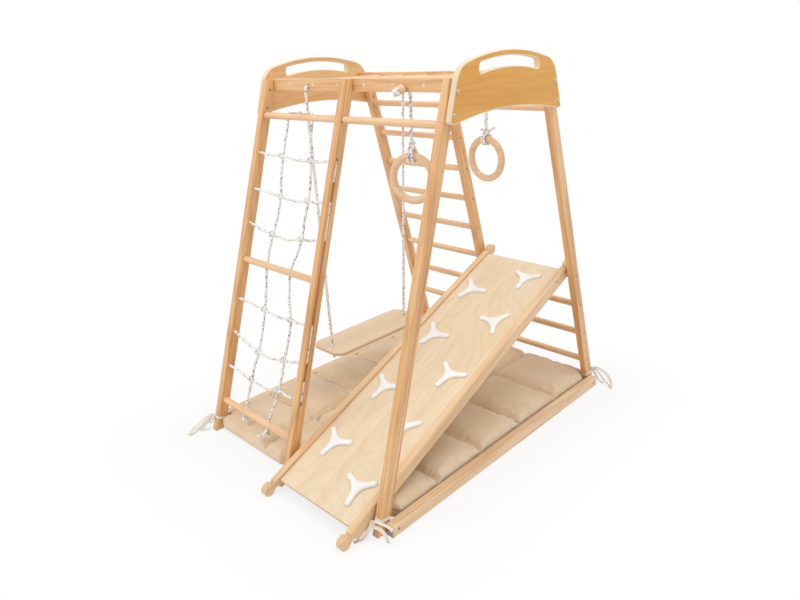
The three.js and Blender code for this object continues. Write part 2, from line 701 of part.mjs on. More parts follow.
// A grip: three rounded arms with hollows between them
function gripShape() {
  const shape = new THREE.Shape();
  for (let arm = 0; arm < 3; arm += 1) {
    const angle = (arm * 2 * Math.PI) / 3;
    const tip = [GRIP_ARM * Math.cos(angle), GRIP_ARM * Math.sin(angle)];
    if (arm === 0) shape.moveTo(tip[0], tip[1] - GRIP_ARM_RADIUS);
    shape.absarc(tip[0], tip[1], GRIP_ARM_RADIUS, angle - Math.PI / 2, angle + Math.PI / 2);
    const next = angle + (2 * Math.PI) / 3;
    const hollow = angle + Math.PI / 3;
    const side = (from, turn, along) => [
      along * Math.cos(from) + GRIP_ARM_RADIUS * Math.cos(from + turn),
      along * Math.sin(from) + GRIP_ARM_RADIUS * Math.sin(from + turn),
    ];
    const waist = [GRIP_WAIST * Math.cos(hollow), GRIP_WAIST * Math.sin(hollow)];
    const out = side(angle, Math.PI / 2, GRIP_ARM / 2);
    const back = side(next, -Math.PI / 2, GRIP_ARM / 2);
    const end = side(next, -Math.PI / 2, GRIP_ARM);
    shape.bezierCurveTo(...out, ...out, ...waist);
    shape.bezierCurveTo(...back, ...back, ...end);
  }
  return shape;
}

gripShares.forEach(([acrossShare, downShare, turn], i) => {
  const grip = flatBoard(gripShape(), boardSurface + SEAT_GAP, GRIP_HEIGHT, GRIP_EASE, 3);
  grip.rotateZ(radians(turn));
  const mesh = add(`slide_grip_${i + 1}`, grip, "plastic", slide);
  const freeHalf = boardHalf - GRIP_ARM - GRIP_ARM_RADIUS;
  mesh.position.set(boardMiddle + acrossShare * freeHalf, boardTop + downShare * (boardFoot - boardTop), 0);
});

// Swing: a seat on two ropes that pass through the beams and end in knots

// The front rope's route as (distance from mid-depth, height): knot, beam, bend, hanging length, seat, knot
const swingRopeRoute = [
  [203.7, 1235],
  [213.7, 1235],
  [223.7, 1235],
  [234.2, 1235],
  [238.9, 1234],
  [242.9, 1231.2],
  [245.5, 1226.8],
  [246.3, 1221.5],
  [245.7, 1212],
  [243.8, 1176],
  [237, 1030],
  [229.9, 880],
  [222.9, 730],
  [215.9, 580],
  [208.8, 430],
  [202.5, 295],
  [201, 262],
  [201, 250],
  [201, 238],
  [201, 226],
];

const seatHole = SEAT_LENGTH / 2 - SEAT_HOLE_INSET;
const seat = rectangle(
  swingX - SEAT_WIDTH / 2, -SEAT_LENGTH / 2, swingX + SEAT_WIDTH / 2, SEAT_LENGTH / 2, SEAT_CORNER);
const seatHoles = [-1, 1].map((side) => {
  const hole = new THREE.CylinderGeometry(
    ROPE_DIAMETER / 2 + ROPE_CLEARANCE, ROPE_DIAMETER / 2 + ROPE_CLEARANCE, SEAT_THICK + 2 * OVERRUN, 12);
  hole.rotateX(Math.PI / 2);
  hole.translate(swingX, side * seatHole, SEAT_TOP - SEAT_THICK / 2);
  return hole;
});
add("swing_seat", cut(flatBoard(seat, SEAT_TOP - SEAT_THICK, SEAT_THICK, SEAT_EASE), seatHoles), "board");

for (const [sideName, side] of [["front", -1], ["back", 1]]) {
  const route = swingRopeRoute.map(([out, z]) => at(swingX, side * out, z));
  const innerKnot = at(swingX, side * (beamBack - SEAT_GAP - KNOT_RADIUS), ropeHoleZ);
  const seatKnot = at(swingX, side * seatHole, SEAT_TOP - SEAT_THICK - SEAT_GAP - KNOT_RADIUS);
  const knots = [innerKnot, seatKnot].map((place) => ball(KNOT_RADIUS, place));
  add(`swing_rope_${sideName}`, join([rope(route, ROPE_DIAMETER / 2, ROPE_SIDES), ...knots]), "rope");
}

// Rings: each hangs inside its beam, on a rope with a stopper knot on the beam's outer face

// The front ring rope's route, as the swing's: stopper knot, beam, bend and hanging length
const ringRopeRoute = [
  [243.7, 1235],
  [234.7, 1235],
  [223.7, 1235],
  [213.7, 1235],
  [209.5, 1234.2],
  [206.1, 1231.8],
  [204, 1228.2],
  [203.4, 1223],
  [203.3, 1204],
  [203.1, 1130],
  [202.9, 1052],
];
const ringReach = 202.9; // mid-depth to the hanging ropes and the rings

const ringSectionRadius = RING_SECTION / 2;
const ringRadius = RING_DIAMETER / 2 - ringSectionRadius;
for (const [sideName, side, turn, centre] of [
  ["front", -1, RING_FRONT_TURN, RING_FRONT_CENTRE],
  ["back", 1, RING_BACK_TURN, RING_BACK_CENTRE],
]) {
  const x = ringX[sideName];
  const ring = new THREE.TorusGeometry(ringRadius, ringSectionRadius, RING_SIDES, RING_STEPS);
  ring.rotateX(Math.PI / 2);
  ring.rotateZ(radians(turn));
  ring.translate(x, side * ringReach, centre);
  add(`ring_${sideName}`, ring, "ring");

  const loopRadius = ringSectionRadius + LOOP_CLEARANCE + ROPE_DIAMETER / 2;
  const loop = new THREE.TorusGeometry(loopRadius, ROPE_DIAMETER / 2, ROPE_SIDES, 16);
  loop.rotateY(Math.PI / 2);
  loop.rotateZ(radians(turn));
  const loopCentre = at(x, side * ringReach, centre + ringRadius);
  loop.translate(loopCentre.x, loopCentre.y, loopCentre.z);
  const knot = ball(KNOT_RADIUS, loopCentre.clone().add(at(0, 0, loopRadius + KNOT_RADIUS / 2)));
  const stopperReach = beamFace + SEAT_GAP + RING_STOPPER;
  const stopperPlace = at(x + STOPPER_SIDE, side * stopperReach, ropeHoleZ - STOPPER_DROP);
  const stopper = ball(RING_STOPPER, stopperPlace);
  const route = ringRopeRoute.map(([out, z]) => at(x, side * out, z));
  const pieces = [rope(route, ROPE_DIAMETER / 2, ROPE_SIDES), loop, knot, stopper];
  add(`ring_rope_${sideName}`, join(pieces), "rope");
}

// Floor mat: a quilted pad with a crown, drawn-in sides, sewn channels and a dent at each middle post

const matHalf = FRAME_WIDTH / 2 - MAT_SIDE_GAP;
const matCornerHalf = FRAME_WIDTH / 2 - POST_WIDTH - MAT_POST_GAP; // between the side posts

// Under the slide the mat ends where the side rails come down to its edge
const matUnderSlide =
  (hookZ + railFoot / Math.cos(slideTilt) - MAT_RIM - MAT_SLIDE_GAP) / Math.tan(slideTilt) - middleOf(hookZ);
const matShortReach = Math.min(matUnderSlide, MAT_REACH);

const smooth = (value) => {
  const share = Math.min(Math.max(value, 0), 1);
  return share * share * (3 - 2 * share);
};

function matEndReach(x, front) {
  const slideSide = front && x > postX.middle + POST_WIDTH / 2;
  const full = slideSide ? matShortReach : MAT_REACH;
  const dented = Math.min(innerFace(MAT_THICK) - MAT_POST_GAP, full);
  const beside = Math.abs(x - postX.middle - POST_WIDTH / 2) - POST_WIDTH / 2 - MAT_DENT_SIDE;
  return dented + (full - dented) * smooth(beside / MAT_DENT_RUN);
}

function matSeam(offset) {
  return Math.exp(-((offset / MAT_SEAM_WIDTH) ** 2));
}

// A point of the mat's upper face, from its shares of the half width and of the reach
function matPlace(across, along) {
  const endGap = (1 - Math.abs(along)) * MAT_REACH;
  const round = Math.max(MAT_CORNER - endGap, 0);
  const corner = MAT_CORNER - Math.sqrt(MAT_CORNER ** 2 - round ** 2);
  const pinch = (matHalf - matCornerHalf) * smooth((MAT_PINCH_END + MAT_PINCH_RUN - endGap) / MAT_PINCH_RUN);
  const half = matHalf - pinch - corner - MAT_DRAW_IN * (1 - along ** 2);
  const x = across * half;
  const reach = matEndReach(x, along < 0);
  const y = along * reach;
  const inward = Math.min((1 - Math.abs(across)) * half, (1 - Math.abs(along)) * reach, MAT_ROLL);
  const roll = Math.sqrt(1 - (1 - inward / MAT_ROLL) ** 2);
  const cross = Math.max(...matCrossSeamShares.map((share) => matSeam((along - share) * MAT_REACH)));
  const long = Math.max(...matLongSeamShares.map((share) => matSeam((across - share) * matHalf)));
  const quilt = MAT_SEAM_DEPTH * Math.min(cross + long, 1.4) * roll;
  return at(x, y, MAT_RIM + (MAT_THICK - MAT_RIM) * roll - quilt);
}

function matShares(seams, ends, size) {
  const beside = (1.2 * MAT_SEAM_WIDTH) / size;
  const list = [0, ...ends, ...ends.map((share) => -share)];
  for (const seam of seams) {
    list.push(seam, seam - beside, seam + beside);
  }
  const sorted = list.sort((a, b) => a - b);
  const filled = [];
  sorted.forEach((share, i) => {
    filled.push(share);
    if (i + 1 < sorted.length && sorted[i + 1] - share > 0.17) filled.push((share + sorted[i + 1]) / 2);
  });
  return filled;
}

function floorMat() {
  const dentHalf = POST_WIDTH / 2 + MAT_DENT_SIDE;
  const dent = [dentHalf, dentHalf + MAT_DENT_RUN / 2, dentHalf + MAT_DENT_RUN].map((x) => x / matHalf);
  const columns = matShares(matLongSeamShares, [...matSideShares, ...dent], matHalf);
  const rows = matShares(matCrossSeamShares, matEndShares, MAT_REACH);
  const points = [];
  const faces = [];
  rows.forEach((along) => columns.forEach((across) => points.push(matPlace(across, along))));
  const index = (row, column) => row * columns.length + column;
  for (let r = 0; r + 1 < rows.length; r += 1) {
    for (let c = 0; c + 1 < columns.length; c += 1) {
      faces.push([index(r, c), index(r, c + 1), index(r + 1, c + 1)]);
      faces.push([index(r, c), index(r + 1, c + 1), index(r + 1, c)]);
    }
  }
  // The edge runs once round, then a ring below it, then the flat underside
  const edge = [];
  columns.forEach((_, c) => edge.push(index(0, c)));
  rows.slice(1).forEach((_, r) => edge.push(index(r + 1, columns.length - 1)));
  columns.slice(1).forEach((_, c) => edge.push(index(rows.length - 1, columns.length - 2 - c)));
  rows.slice(1, -1).forEach((_, r) => edge.push(index(rows.length - 2 - r, 0)));
  const ring = (height, inset) => {
    const start = points.length;
    edge.forEach((i, n) => {
      const before = points[edge[(n + edge.length - 1) % edge.length]];
      const after = points[edge[(n + 1) % edge.length]];
      const inward = at(before.y - after.y, after.x - before.x, 0).normalize();
      points.push(points[i].clone().setZ(height).addScaledVector(inward, inset));
    });
    return edge.map((_, n) => start + n);
  };
  const lower = ring(MAT_RIM / 3, MAT_UNDERCUT / 3);
  const foot = ring(0, MAT_UNDERCUT);
  for (const [above, below] of [[edge, lower], [lower, foot]]) {
    above.forEach((i, n) => {
      const next = (n + 1) % above.length;
      faces.push([i, below[n], below[next]]);
      faces.push([i, below[next], above[next]]);
    });
  }
  const flat = foot.map((i) => new THREE.Vector2(points[i].x, points[i].y));
  for (const [a, b, c] of THREE.ShapeUtils.triangulateShape(flat, [])) {
    faces.push([foot[c], foot[b], foot[a]]);
  }
  const geometry = new THREE.BufferGeometry().setFromPoints(points);
  geometry.setIndex(faces.flat());
  geometry.computeVertexNormals();
  return geometry;
}

add("floor_mat", floorMat(), "mat");

// Tape ties: a band round a post, a strap to the mat's corner, and two loose ends

// A flat tape along the points, its width lying along side(tangent)
function tape(points, side, closed = false) {
  const last = points.length - 1;
  const vertices = [];
  const faces = [];
  points.forEach((point, i) => {
    const before = points[closed ? (i + last) % points.length : Math.max(i - 1, 0)];
    const after = points[closed ? (i + 1) % points.length : Math.min(i + 1, last)];
    const tangent = after.clone().sub(before).normalize();
    const wide = side(tangent).clone().normalize().multiplyScalar(TAPE_WIDTH / 2);
    const thick = tangent.clone().cross(wide).normalize().multiplyScalar(TAPE_THICK / 2);
    vertices.push(point.clone().add(wide).add(thick), point.clone().add(wide).sub(thick));
    vertices.push(point.clone().sub(wide).sub(thick), point.clone().sub(wide).add(thick));
  });
  for (let i = 0; i < (closed ? points.length : last); i += 1) {
    const next = (i + 1) % points.length;
    for (let k = 0; k < 4; k += 1) {
      const a = 4 * i + k;
      const b = 4 * i + ((k + 1) % 4);
      const c = 4 * next + k;
      const d = 4 * next + ((k + 1) % 4);
      faces.push([a, d, b], [a, c, d]);
    }
  }
  if (!closed) {
    const end = 4 * last;
    faces.push([0, 1, 2], [0, 2, 3], [end, end + 2, end + 1], [end, end + 3, end + 2]);
  }
  const geometry = new THREE.BufferGeometry().setFromPoints(vertices);
  geometry.setIndex(faces.flat());
  return geometry;
}

// Loose ends as (outward along X from the post's outer side face, outward along Y from its outer face, height)
const tieRoutes = {
  front_left: [
    [[0, 3, 52], [6, 16, 46], [12, 32, 32], [17, 50, 16], [21, 66, 5], [24, 81, 2]],
    [[0, 3, 50], [8, 8, 44], [15, 17, 30], [20, 28, 13], [21, 41, 2]],
  ],
  front_right: [
    [[-12, 3, 50], [-23, 16, 34], [-24, 27, 18], [-26, 35, 8], [-33, 46, 3.5], [-41, 58, 1.5]],
    [[0, 3, 50], [4, 7, 46], [24, -1, 38], [36, -9, 26], [37, -9, 10], [33, -8, 2]],
  ],
  back_right: [
    [[0, 3, 54], [16, 5, 64], [36, 5, 64], [56, 4, 54], [72, 0, 40], [82, -6, 24], [88, -16, 9], [90, -29, 2]],
    [[0, 3, 50], [5, 5, 42], [10, 6, 30], [17, 6, 16], [25, 5, 5], [34, 3, 2], [46, 0, 1.5]],
  ],
};

function tie(side, way, routes) {
  const sideX = way < 0 ? postX.left : postX.right + POST_WIDTH; // the post's outer side face
  const out = TAPE_GAP + TAPE_THICK / 2;
  const leanWay = at(0, -side * slope, 1).normalize();
  const x0 = sideX + way * out;
  const x1 = sideX - way * (POST_WIDTH + out);
  const y0 = side * (outerFace(TAPE_HEIGHT) + out);
  const y1 = side * (innerFace(TAPE_HEIGHT) - out);
  const round = 3 * TAPE_THICK;
  const band = [
    at(x0, y0 - side * round, TAPE_HEIGHT), at(x0, y1 + side * round, TAPE_HEIGHT),
    at(x0 - way * round, y1, TAPE_HEIGHT), at(x1 + way * round, y1, TAPE_HEIGHT),
    at(x1, y1 + side * round, TAPE_HEIGHT), at(x1, y0 - side * round, TAPE_HEIGHT),
    at(x1 + way * round, y0, TAPE_HEIGHT), at(x0 - way * round, y0, TAPE_HEIGHT),
  ];
  const pieces = [tape(band, () => leanWay, true)];
  const knotOut = TAPE_KNOT / Math.cos(lean);
  const knotPlace = at(x0 - way * round, y0 + side * knotOut, TAPE_HEIGHT);
  pieces.push(ball(TAPE_KNOT, knotPlace, 8));
  for (const route of routes) {
    const points = route.map(([outX, outY, z]) => at(sideX + way * outX, side * (outerFace(z) + outY), z));
    pieces.push(tape([knotPlace, ...points.slice(1)], (tangent) => Z.clone().cross(tangent)));
  }
  const corner = matPlace(way * 1, side * cornerShare);
  const strapFrom = at(x1 + way * round, y1, TAPE_HEIGHT - TAPE_WIDTH / 2);
  const toMat = corner.clone().sub(strapFrom).normalize();
  const strapTo = corner.clone().addScaledVector(toMat, -SEAT_GAP - 2 * TAPE_THICK);
  pieces.push(tape([strapFrom, strapTo], () => Z));
  return join(pieces);
}

const cornerShare = 0.94; // where the strap meets the mat's rounded corner, of the reach
add("tie_front_left", tie(-1, -1, tieRoutes.front_left), "tape");
add("tie_front_right", tie(-1, 1, tieRoutes.front_right), "tape");
add("tie_back_right", tie(1, 1, tieRoutes.back_right), "tape");

// The origin stands midway between the slide's lower knobs and the back feet
const slideReach =
  slideLength * Math.cos(slideTilt) + HOOK_BELOW * Math.sin(slideTilt) + KNOB_RADIUS - middleOf(hookZ);
stand.position.y = (slideReach - FOOT_REACH) / 2;

export default part;
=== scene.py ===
import itertools
import math

import bpy
from mathutils import Matrix, Vector, noise
from mathutils.geometry import tessellate_polygon

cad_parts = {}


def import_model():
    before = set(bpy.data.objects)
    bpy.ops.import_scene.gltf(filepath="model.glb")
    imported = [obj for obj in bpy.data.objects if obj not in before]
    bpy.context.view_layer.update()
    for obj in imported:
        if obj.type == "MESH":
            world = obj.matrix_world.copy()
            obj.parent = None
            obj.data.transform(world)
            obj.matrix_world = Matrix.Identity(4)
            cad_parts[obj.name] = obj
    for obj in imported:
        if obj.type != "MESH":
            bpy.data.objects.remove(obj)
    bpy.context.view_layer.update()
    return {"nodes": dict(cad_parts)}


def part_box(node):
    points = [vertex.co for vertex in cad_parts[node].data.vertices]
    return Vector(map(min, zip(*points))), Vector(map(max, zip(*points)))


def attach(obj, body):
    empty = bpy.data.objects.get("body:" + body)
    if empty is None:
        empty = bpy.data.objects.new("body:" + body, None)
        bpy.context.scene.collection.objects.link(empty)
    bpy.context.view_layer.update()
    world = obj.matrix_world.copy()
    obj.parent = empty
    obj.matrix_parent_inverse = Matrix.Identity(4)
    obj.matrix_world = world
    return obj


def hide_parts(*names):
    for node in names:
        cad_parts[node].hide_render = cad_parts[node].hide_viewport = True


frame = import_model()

MM = 0.001
X_WAY, Y_WAY, UP = Vector((1, 0, 0)), Vector((0, 1, 0)), Vector((0, 0, 1))
SIDES = {"front": -1, "back": 1}

# Sizes in millimetres, as in the part's source. X counts from the middle, and Y from the frame's mid-depth.

SEAT_GAP = 0.3
RIGHT = 438.25
LEFT = -RIGHT
LEFT_BAY = 398.5
BEAM_TOP, BEAM_LOW, BEAM_THICK = 1260.0, 1218.0, 20.0
FOOT_REACH, TOP_REACH = 620.0, 264.0
POST_WIDTH, POST_DEPTH = 26.0, 40.0
ROD_RADIUS = 12.0
TOP_RUNG, RUNG_PITCH, HOOK_LEVEL = 1132.0, 128.0, 5
BAR_HEIGHT, BAR_PITCH, BAR_COUNT = 1239.0, 126.4, 6
ROPE_HEIGHT = 1235.0
PANEL_THICK = 20.0

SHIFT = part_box("post_front_left")[0][1] / MM + FOOT_REACH
SLOPE = (FOOT_REACH - TOP_REACH) / BEAM_TOP
LEAN = math.atan(SLOPE)
POST_RUN = POST_DEPTH / math.cos(LEAN)
POST_X = {"left": LEFT, "middle": LEFT + POST_WIDTH + LEFT_BAY, "right": RIGHT - POST_WIDTH}
BAY = {"left": (POST_X["left"] + POST_WIDTH, POST_X["middle"]),
       "right": (POST_X["middle"] + POST_WIDTH, POST_X["right"])}


def outer(z):
    """Distance of the posts' outer faces from mid-depth, at a height."""
    return FOOT_REACH - SLOPE * z


def inner(z):
    return outer(z) - POST_RUN


def middle(z):
    return outer(z) - POST_RUN / 2


def rung_z(level):
    return TOP_RUNG - RUNG_PITCH * level


def world(x, y, z):
    return Vector((x, y + SHIFT, z)) * MM


BEAM_FACE = inner(BEAM_LOW)
BEAM_BACK = BEAM_FACE - BEAM_THICK
SWING_X = sum(BAY["left"]) / 2 - 4
RING_X = {"front": sum(BAY["right"]) / 2 + 20.7, "back": sum(BAY["right"]) / 2 + 4.7}

# Camera, fitted to the frame's edges in the photo

PHOTO_WIDE, PHOTO_HIGH = 800, 600
STRAIGHT_AHEAD = (381.9, 216.6)
CAMERA_PLACE = (LEFT + 2072.3, -1728.1, 1337.4)
CAMERA_RIGHT = Vector((0.70863, 0.70425, -0.04320))
CAMERA_AHEAD = Vector((-0.69176, 0.68194, -0.23760))


def make_camera():
    data = bpy.data.cameras.new("camera")
    data.lens = 30.21
    data.sensor_width = 36
    data.shift_x = (PHOTO_WIDE / 2 - STRAIGHT_AHEAD[0]) / PHOTO_WIDE
    data.shift_y = (STRAIGHT_AHEAD[1] - PHOTO_HIGH / 2) / PHOTO_WIDE
    data.clip_end = 100
    data.dof.use_dof = False
    up = CAMERA_RIGHT.cross(CAMERA_AHEAD).normalized()
    right = CAMERA_AHEAD.cross(up).normalized()
    turn = Matrix((right, up, -CAMERA_AHEAD.normalized())).transposed()
    camera = bpy.data.objects.new("camera", data)
    camera.matrix_world = Matrix.Translation(world(*CAMERA_PLACE)) @ turn.to_4x4()
    bpy.context.collection.objects.link(camera)
    bpy.context.scene.camera = camera
    return camera.matrix_world.translation / MM


camera_at = make_camera()


# Materials

def linear(rgb):
    """A colour's bytes as the shaders' linear values."""
    shares = [value / 255 for value in rgb]
    return tuple(c / 12.92 if c <= 0.04045 else ((c + 0.055) / 1.055) ** 2.4 for c in shares) + (1,)


def darker(colour, share):
    return tuple(share * value for value in colour[:3]) + (1,)


class Nodes:
    """Adds nodes to the tree of a material or of the world."""

    def __init__(self, tree):
        self.tree = tree

    def node(self, kind, **settings):
        node = self.tree.nodes.new("ShaderNode" + kind)
        for key, value in settings.items():
            setattr(node, key, value)
        return node

    def feed(self, socket, value):
        """Gives a socket another node's output, or a constant."""
        if isinstance(value, bpy.types.NodeSocket):
            self.tree.links.new(value, socket)
        else:
            socket.default_value = value

    def math(self, operation, *values):
        node = self.node("Math", operation=operation)
        for socket, value in zip(node.inputs, values):
            self.feed(socket, value)
        return node.outputs[0]

    def add(self, a, b):
        return self.math("ADD", a, b)

    def times(self, a, b):
        return self.math("MULTIPLY", a, b)

    def fold(self, value, scale):
        return self.math("PINGPONG", value, scale)

    def attribute(self, name, output="Vector"):
        return self.node("Attribute", attribute_name=name).outputs[output]

    def parts(self, vector):
        node = self.node("SeparateXYZ")
        self.feed(node.inputs[0], vector)
        return node.outputs

    def noise(self, place, scale, detail, rough=0.55, distortion=0.0):
        """Noise over a place that is stretched by scale, an amount for each axis."""
        stretched = self.node("VectorMath", operation="MULTIPLY")
        self.feed(stretched.inputs[0], place)
        self.feed(stretched.inputs[1], scale)
        node = self.node("TexNoise")
        self.feed(node.inputs["Vector"], stretched.outputs[0])
        settings = {"Scale": 1.0, "Detail": detail, "Roughness": rough, "Distortion": distortion}
        for name, value in settings.items():
            self.feed(node.inputs[name], value)
        return node.outputs["Fac"]

    def mapped(self, value, end, low, high, **settings):
        node = self.node("MapRange", clamp=True, **settings)
        for name, amount in (("Value", value), (f"{end} Min", low), (f"{end} Max", high)):
            self.feed(node.inputs[name], amount)
        return node.outputs["Result"]

    def ramp(self, value, low, high):
        """From 0 to 1, eased, as the value goes from low to high."""
        return self.mapped(value, "From", low, high, interpolation_type="SMOOTHSTEP")

    def span(self, value, low, high):
        """From low to high as the value goes from 0 to 1."""
        return self.mapped(value, "To", low, high)

    def mix(self, factor, a, b):
        node = self.node("Mix", data_type="RGBA")
        for index, value in ((0, factor), (6, a), (7, b)):
            self.feed(node.inputs[index], value)
        return node.outputs[2]

    def blend(self, factor, a, b):
        """One shader turning into another."""
        node = self.node("MixShader")
        for socket, value in zip(node.inputs, (factor, a, b)):
            self.feed(socket, value)
        return node.outputs[0]

    def plain_rays(self):
        """1 for the rays that see a plain background: the camera's, mirrored ones and those through glass."""
        path = self.node("LightPath").outputs
        seen = self.math("MAXIMUM", path["Is Camera Ray"], path["Is Glossy Ray"])
        return self.math("MAXIMUM", seen, path["Is Transmission Ray"])


class Shader(Nodes):
    """A material with one surface shader, whose other sockets are given as coat_weight=0.7 and the like."""

    def __init__(self, name, roughness, specular=0.5, **others):
        self.material = bpy.data.materials.new(name)
        self.material.use_nodes = True
        super().__init__(self.material.node_tree)
        self.surface = self.tree.nodes["Principled BSDF"]
        self.surface.inputs["Roughness"].default_value = roughness
        self.surface.inputs["Specular IOR Level"].default_value = specular
        for key, value in others.items():
            self.surface.inputs[key.replace("_", " ").title()].default_value = value

    def finish(self, colour, height, strength, distance, roughness=None):
        """Joins the colour, the bump's height and the roughness to the surface."""
        self.feed(self.surface.inputs["Base Color"], colour)
        if roughness is not None:
            self.feed(self.surface.inputs["Roughness"], roughness)
        bump = self.node("Bump")
        for name, value in (("Strength", strength), ("Distance", distance), ("Height", height)):
            self.feed(bump.inputs[name], value)
        self.feed(self.surface.inputs["Normal"], bump.outputs["Normal"])
        return self.material


PLY_LAYER = 0.0014
BRAID_STRANDS, BRAID_PITCH = 5, 0.0095
CLOTH_THREAD = 0.0016
TAPE_RIB = 0.0011


def wood(name, light, dark, streak, contrast, coat=0.7, figure=1.0, rings=9.0, flame=1.0):
    """Broad figure, year rings, lines and pores, all drawn out along the grain's first axis."""
    s = Shader(name, 0.45, 0.4, coat_weight=coat, coat_roughness=0.25)
    grain = s.attribute("grain")
    broad = s.noise(grain, (1.6 * figure, 26 * figure, 26 * figure), 4, 0.5, 0.9)
    lines = s.noise(grain, (3.5, 150, 150), 5, 0.62, 0.25)
    fibres = s.noise(grain, (26, 1100, 1100), 2, 0.6)
    hills = s.noise(grain, (0.9 * figure * flame, 11 * figure, 11 * figure), 1.5, 0.42, 0.15)
    year = s.fold(s.times(hills, rings), 0.5)
    late = s.times(s.ramp(year, 0.24, 0.5), s.span(broad, 0.15, 0.75))
    tone = s.mix(s.ramp(broad, 0.3, 0.74), light, dark)
    tone = s.mix(s.times(late, 0.55 * contrast), tone, streak)
    tone = s.mix(s.times(s.ramp(lines, 0.5, 0.74), 0.55 * contrast), tone, streak)
    tone = s.mix(s.times(s.ramp(fibres, 0.56, 0.8), 0.3 * contrast), tone, streak)
    return s.finish(tone, s.add(fibres, lines), 0.12, 0.0004, s.span(lines, 0.36, 0.54))


def ply_edge(name, pale, brown):
    """The layers of a plywood's edge, which follow each other along the grain's third axis."""
    s = Shader(name, 0.5, 0.35)
    grain = s.attribute("grain")
    waver = s.times(s.noise(grain, (18, 18, 240), 3), 0.35 * PLY_LAYER)
    depth = s.add(s.parts(grain)[2], waver)
    bands = s.fold(s.times(depth, 1 / PLY_LAYER), 1.0)
    fibres = s.noise(grain, (300, 300, 900), 3, 0.6)
    tone = s.mix(s.ramp(bands, 0.52, 0.86), pale, brown)
    tone = s.mix(s.times(s.ramp(fibres, 0.5, 0.8), 0.25), tone, brown)
    return s.finish(tone, s.add(fibres, bands), 0.12, 0.0003)


def braid(name, ground, fleck):
    """Strands that cross each other round the rope, a few of them dark, with painted shade in the hollows
    between them.
    """
    s = Shader(name, 0.85, 0.2, sheen_weight=0.3)
    uv = s.node("UVMap").outputs[0]
    place = s.parts(uv)
    around = s.times(place[0], BRAID_STRANDS)
    along = s.times(place[1], 1 / BRAID_PITCH)
    strands = (s.add(around, along), s.math("SUBTRACT", around, along))
    cell = s.node("CombineXYZ")
    for socket, strand in zip(cell.inputs, strands):
        s.feed(socket, s.math("FLOOR", strand))
    pick = s.node("TexWhiteNoise", noise_dimensions="2D")
    s.feed(pick.inputs["Vector"], cell.outputs[0])
    height = s.times(s.math("MINIMUM", *(s.fold(strand, 0.5) for strand in strands)), 2.0)
    fuzz = s.noise(uv, (30, 900, 1), 2)
    # Painted shade: where the strands dip between crossings, the ground colour is darkened to 0.8.
    tone = s.mix(s.ramp(height, 0.0, 0.4), darker(ground, 0.8), ground)
    marks = s.times(s.math("GREATER_THAN", pick.outputs["Value"], 0.85), s.ramp(height, 0.1, 0.3))
    tone = s.mix(s.times(marks, 0.85), tone, fleck)
    return s.finish(tone, s.add(height, s.times(fuzz, 0.3)), 0.35, 0.0006)


def cloth_material(name, light, dark):
    """A plain weave with thick threads in it, with painted shade in the sunk seams and along the mat's sides.
    """
    s = Shader(name, 0.92, 0.15, sheen_weight=0.35, sheen_roughness=0.5)
    place = s.attribute("grain")
    slubs = [s.times(s.noise(place, scale, 2), 0.5) for scale in ((700, 60, 60), (60, 700, 60))]
    threads = s.add(*slubs)
    waves = [s.math("SINE", s.times(part, 2 * math.pi / CLOTH_THREAD)) for part in s.parts(place)[:2]]
    mottle = s.noise(place, (9, 9, 9), 4, 0.6)
    tone = s.mix(s.ramp(mottle, 0.25, 0.75), light, dark)
    tone = s.mix(s.times(s.ramp(threads, 0.42, 0.66), 0.45), tone, darker(dark, 0.72))
    # Painted shade: the seam attribute darkens the cloth in the sunk seams and along the mat's sides by the
    # floor rails.
    seam = s.ramp(s.attribute("seam", "Fac"), 0.5, 0.95)
    tone = s.mix(s.times(seam, 0.6), tone, darker(dark, 0.42))
    return s.finish(tone, s.add(s.times(*waves), s.times(threads, 2.0)), 0.35, 0.0004)


def tape_material(name, light, dark):
    """Ribbed cotton tape with a little soil."""
    s = Shader(name, 0.9, 0.15, sheen_weight=0.3)
    uv = s.node("UVMap").outputs[0]
    place = s.parts(uv)
    slant = s.times(s.fold(s.times(place[0], 3.0), 0.5), 0.004)
    rib = s.math("SINE", s.times(s.add(place[1], slant), 2 * math.pi / TAPE_RIB))
    soil = s.noise(uv, (4, 60, 1), 3)
    tone = s.mix(s.ramp(soil, 0.3, 0.8), light, dark)
    tone = s.mix(s.times(s.ramp(rib, 0.1, 0.9), 0.3), tone, darker(dark, 0.75))
    return s.finish(tone, rib, 0.3, 0.0002)


def plastic(name, light, dark):
    s = Shader(name, 0.32)
    place = s.attribute("grain")
    skin = s.noise(place, (420, 420, 420), 2)
    cloud = s.noise(place, (14, 14, 14), 3)
    tone = s.mix(s.ramp(cloud, 0.3, 0.8), light, dark)
    return s.finish(tone, skin, 0.06, 0.0003, s.span(cloud, 0.26, 0.38))


def metal(name, light, dark, roughness):
    s = Shader(name, roughness, metallic=1.0)
    wear = s.noise(s.attribute("grain"), (900, 900, 900), 3)
    tone = s.mix(s.ramp(wear, 0.35, 0.7), light, dark)
    return s.finish(tone, wear, 0.08, 0.0002, s.span(wear, roughness, roughness + 0.15))


def material(name, make, *values):
    """Makes a material, with its colours turned into linear values."""
    return make(name, *(linear(value) if isinstance(value, tuple) else value for value in values))


